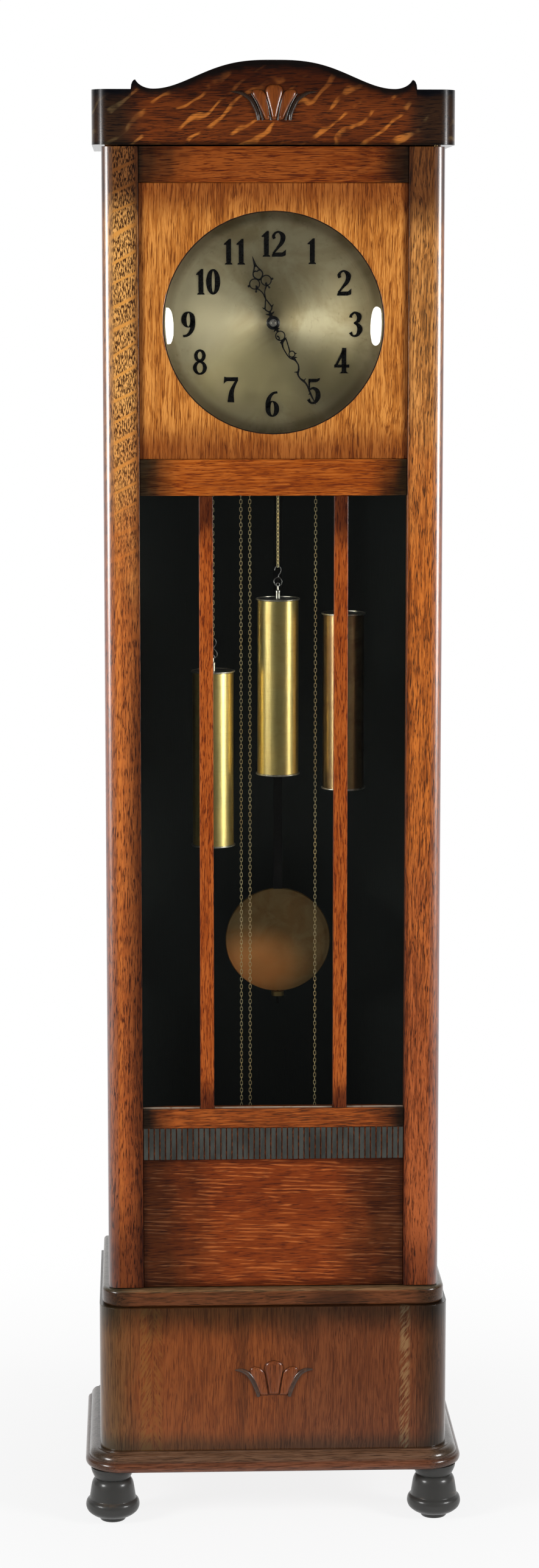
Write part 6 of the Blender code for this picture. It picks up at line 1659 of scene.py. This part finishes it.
def make_chain(side, load_x, hook_top, brass):
    """One chain: the load strand, the turn over the sprocket and the free strand, with its end ring."""
    ring_low, ring_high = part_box("chain_ring_" + side)
    free_x = 0.5 * (ring_low.x + ring_high.x)
    node = "chain_" + side
    weight_body, tail_body = "hanging_weight_" + side, "chain_tail_" + side
    slant = 0.25 * np.pi if side == "centre" else 0.0
    load = place("load_chain_" + side, [hanging_links(load_x, SPROCKET_Z, hook_top - CHAIN_LAP, slant)],
                 brass, None, (node,), crease=50)
    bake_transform(load)
    free = place("free_chain_" + side, [hanging_links(free_x, SPROCKET_Z, ring_high.z - CHAIN_LAP, 0.0)],
                 brass, None, (node,), crease=50)
    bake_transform(free)
    middle = 0.5 * (load_x + free_x)
    sweep = [wrapped_links(middle, 0.0)]
    place("wrapped_chain_" + side, sweep, brass, "case", (node,), crease=50)
    ring_radius = 0.5 * (ring_high.z - ring_low.z) - RING_WIRE
    ring_path = oval((free_x, 0.5 * (ring_low.z + ring_high.z)), ring_radius, ring_radius, 40)
    place("end_ring_" + side, [wire(ring_path, RING_WIRE, CHAIN_Y, 10, closed=True)], brass, tail_body,
          ("chain_ring_" + side,), crease=60)


def make_pendulum():
    """Pendulum's bob: a turned brass lens, whose face falls by a power of the radius, with a rolled rim."""
    # The copper patch at the bob's lower left is a painted warm reflection
    brass = brass_finish("bob_brass", BOB_BRASS, 0.62, lines=(240.0, 2.0, 1.0), anisotropy=0.4,
                         painted_light=[BOB_PAINTED_REFLECTION])
    share = np.linspace(0.004, 0.93, 22)
    lens = np.column_stack([share * BOB_RADIUS, -BOB_HALF * (1 - 0.72 * share ** 2.2)])
    lip = np.array([(0.955, -0.30), (0.985, -0.26), (1.0, -0.12)]) * (BOB_RADIUS, BOB_HALF)
    front = np.concatenate([lens, lip])
    profile = np.concatenate([front, front[::-1] * (1, -1)])
    bob = place("bob_lens", [turned(profile, tuple(BOB_CENTRE), "Y", 112)], brass, "pendulum",
                ("pendulum_bob",), crease=40)
    unroll_disc(bob, BOB_CENTRE.x, BOB_CENTRE.z, BOB_RADIUS)


def make_movement():
    """Plates, sprockets, escapement and suspension keep the frame's shapes, in brass and steel."""
    plate = brass_finish("plate_brass", PLATE_BRASS, 0.34)
    steel = steel_finish("movement_steel", MOVEMENT_STEEL, 0.30)
    for node in ("movement_front_plate", "movement_back_plate"):
        finish_node(node, plate, THIN_EASE)
    for node in ("chain_sprocket_left", "chain_sprocket_centre", "chain_sprocket_right",
                 "escape_wheel", "rating_nut"):
        finish_node(node, plate)
    for node in ("pallet_anchor", "suspension_spring"):
        finish_node(node, steel)


# Studio

def make_camera():
    """Camera at the photograph's view."""
    lens = bpy.data.cameras.new("photo_camera")
    lens.lens = CAMERA_LENS_MM
    lens.sensor_width = CAMERA_SENSOR_MM
    lens.sensor_fit = "AUTO"
    camera = bpy.data.objects.new("photo_camera", lens)
    camera.location = CAMERA_PLACE
    camera.rotation_euler = (CAMERA_TILT, 0, CAMERA_TURN)
    bpy.context.scene.collection.objects.link(camera)
    bpy.context.scene.camera = camera


def make_lamps():
    """Two soft oval panel lamps, set round the clock to either side of its front and aimed at the case."""
    drop = math.atan2(LAMP_HEIGHT - LAMP_AIM_Z, LAMP_DISTANCE)
    for name, degrees in (("softbox_left", -LAMP_TURN), ("softbox_right", LAMP_TURN)):
        lamp = bpy.data.lights.new(name, "AREA")
        lamp.shape = "ELLIPSE"
        lamp.size = LAMP_WIDTH
        lamp.size_y = LAMP_TALL
        lamp.energy = LAMP_POWER
        panel = bpy.data.objects.new(name, lamp)
        turn = math.radians(degrees)
        panel.location = (LAMP_DISTANCE * math.sin(turn), -LAMP_DISTANCE * math.cos(turn), LAMP_HEIGHT)
        panel.rotation_euler = (math.pi / 2 - drop, 0, turn)
        bpy.context.scene.collection.objects.link(panel)


def make_world():
    """White for what the camera and glass see, dim grey as light, and a dark room before the clock
    for reflections."""
    world = bpy.data.worlds.new("studio")
    bpy.context.scene.world = world
    world.use_nodes = True
    tree = world.node_tree
    tree.nodes.clear()
    path = add(tree, "ShaderNodeLightPath").outputs
    toward = apart(tree, add(tree, "ShaderNodeTexCoord").outputs["Generated"])[1]
    light = add(tree, "ShaderNodeBackground", {"Color": (0.95, 0.97, 1.0, 1), "Strength": ROOM_LIGHT})
    strength = mirrored_room(tree, path, between(tree, toward, 0.2, 0.95, ROOM_GLEAM, 1.0))
    white = add(tree, "ShaderNodeBackground", {"Color": WHITE, "Strength": strength})
    final = add(tree, "ShaderNodeMixShader", {0: looked_at(tree, path), 1: light.outputs[0],
                                              2: white.outputs[0]})
    add(tree, "ShaderNodeOutputWorld", {"Surface": final.outputs[0]})


def looked_at(tree, path):
    """1 for rays that see a surface, straight, in a reflection or through glass, and 0 for rays that
    carry light."""
    direct = sums(tree, "MAXIMUM", path["Is Camera Ray"], path["Is Transmission Ray"])
    return sums(tree, "MAXIMUM", direct, path["Is Glossy Ray"])


def mirrored_room(tree, path, gleam):
    """White, but the given gleam for what is seen in a reflection."""
    mirrored = sums(tree, "MINIMUM", path["Glossy Depth"], 1.0)
    return add(tree, "ShaderNodeMix", {0: mirrored, 2: 1.0, 3: gleam}, data_type="FLOAT").outputs[0]


def make_floor():
    """Pale floor: a disc that takes the clock's shadow near it and runs into the white behind it."""
    angle = np.linspace(0, 2 * np.pi, FLOOR_STEPS, endpoint=False)
    points = np.column_stack([FLOOR_RADIUS * np.sin(angle), FLOOR_RADIUS * np.cos(angle), 0 * angle])
    mesh = bpy.data.meshes.new("floor")
    mesh.from_pydata(points.tolist(), [], [list(range(FLOOR_STEPS))[::-1]])
    mesh.materials.append(floor_white())
    floor = bpy.data.objects.new("floor", mesh)
    bpy.context.scene.collection.objects.link(floor)


def floor_white():
    """Mottled white that shows shadow near the clock and turns into the plain white of the room away
    from it."""
    material, tree, shader, place_at = new_material("pale_floor")
    mottle = noise(tree, place_at, (1.4, 1.4, 1.4), 3.0)
    fill(tree, shader, {"Base Color": tint(tree, mottle, (0.90, 0.90, 0.90, 1), (0.94, 0.94, 0.94, 1)),
                        "Roughness": 0.9, "Specular IOR Level": 0.0})
    path = add(tree, "ShaderNodeLightPath").outputs
    before = apart(tree, place_at)[1]
    strength = mirrored_room(tree, path, between(tree, before, -0.9, 0.3, ROOM_GLEAM, 1.0))
    white = add(tree, "ShaderNodeEmission", {"Color": WHITE, "Strength": strength})
    fade = between(tree, distance(tree, place_at), 0.15, 1.3, 0.85, 1.0)
    fade = sums(tree, "MAXIMUM", fade, sums(tree, "MINIMUM", path["Glossy Depth"], 1.0))
    share = sums(tree, "MULTIPLY", looked_at(tree, path), fade)
    mixed = add(tree, "ShaderNodeMixShader", {0: share, 1: shader.outputs[0], 2: white.outputs[0]})
    fill(tree, tree.nodes["Material Output"], {"Surface": mixed.outputs[0]})
    return material


make_camera()
make_case()
make_door()
make_dial()
make_weights()
make_pendulum()
make_movement()
make_lamps()
make_world()
make_floor()
bpy.context.scene.view_settings.view_transform = "Standard"
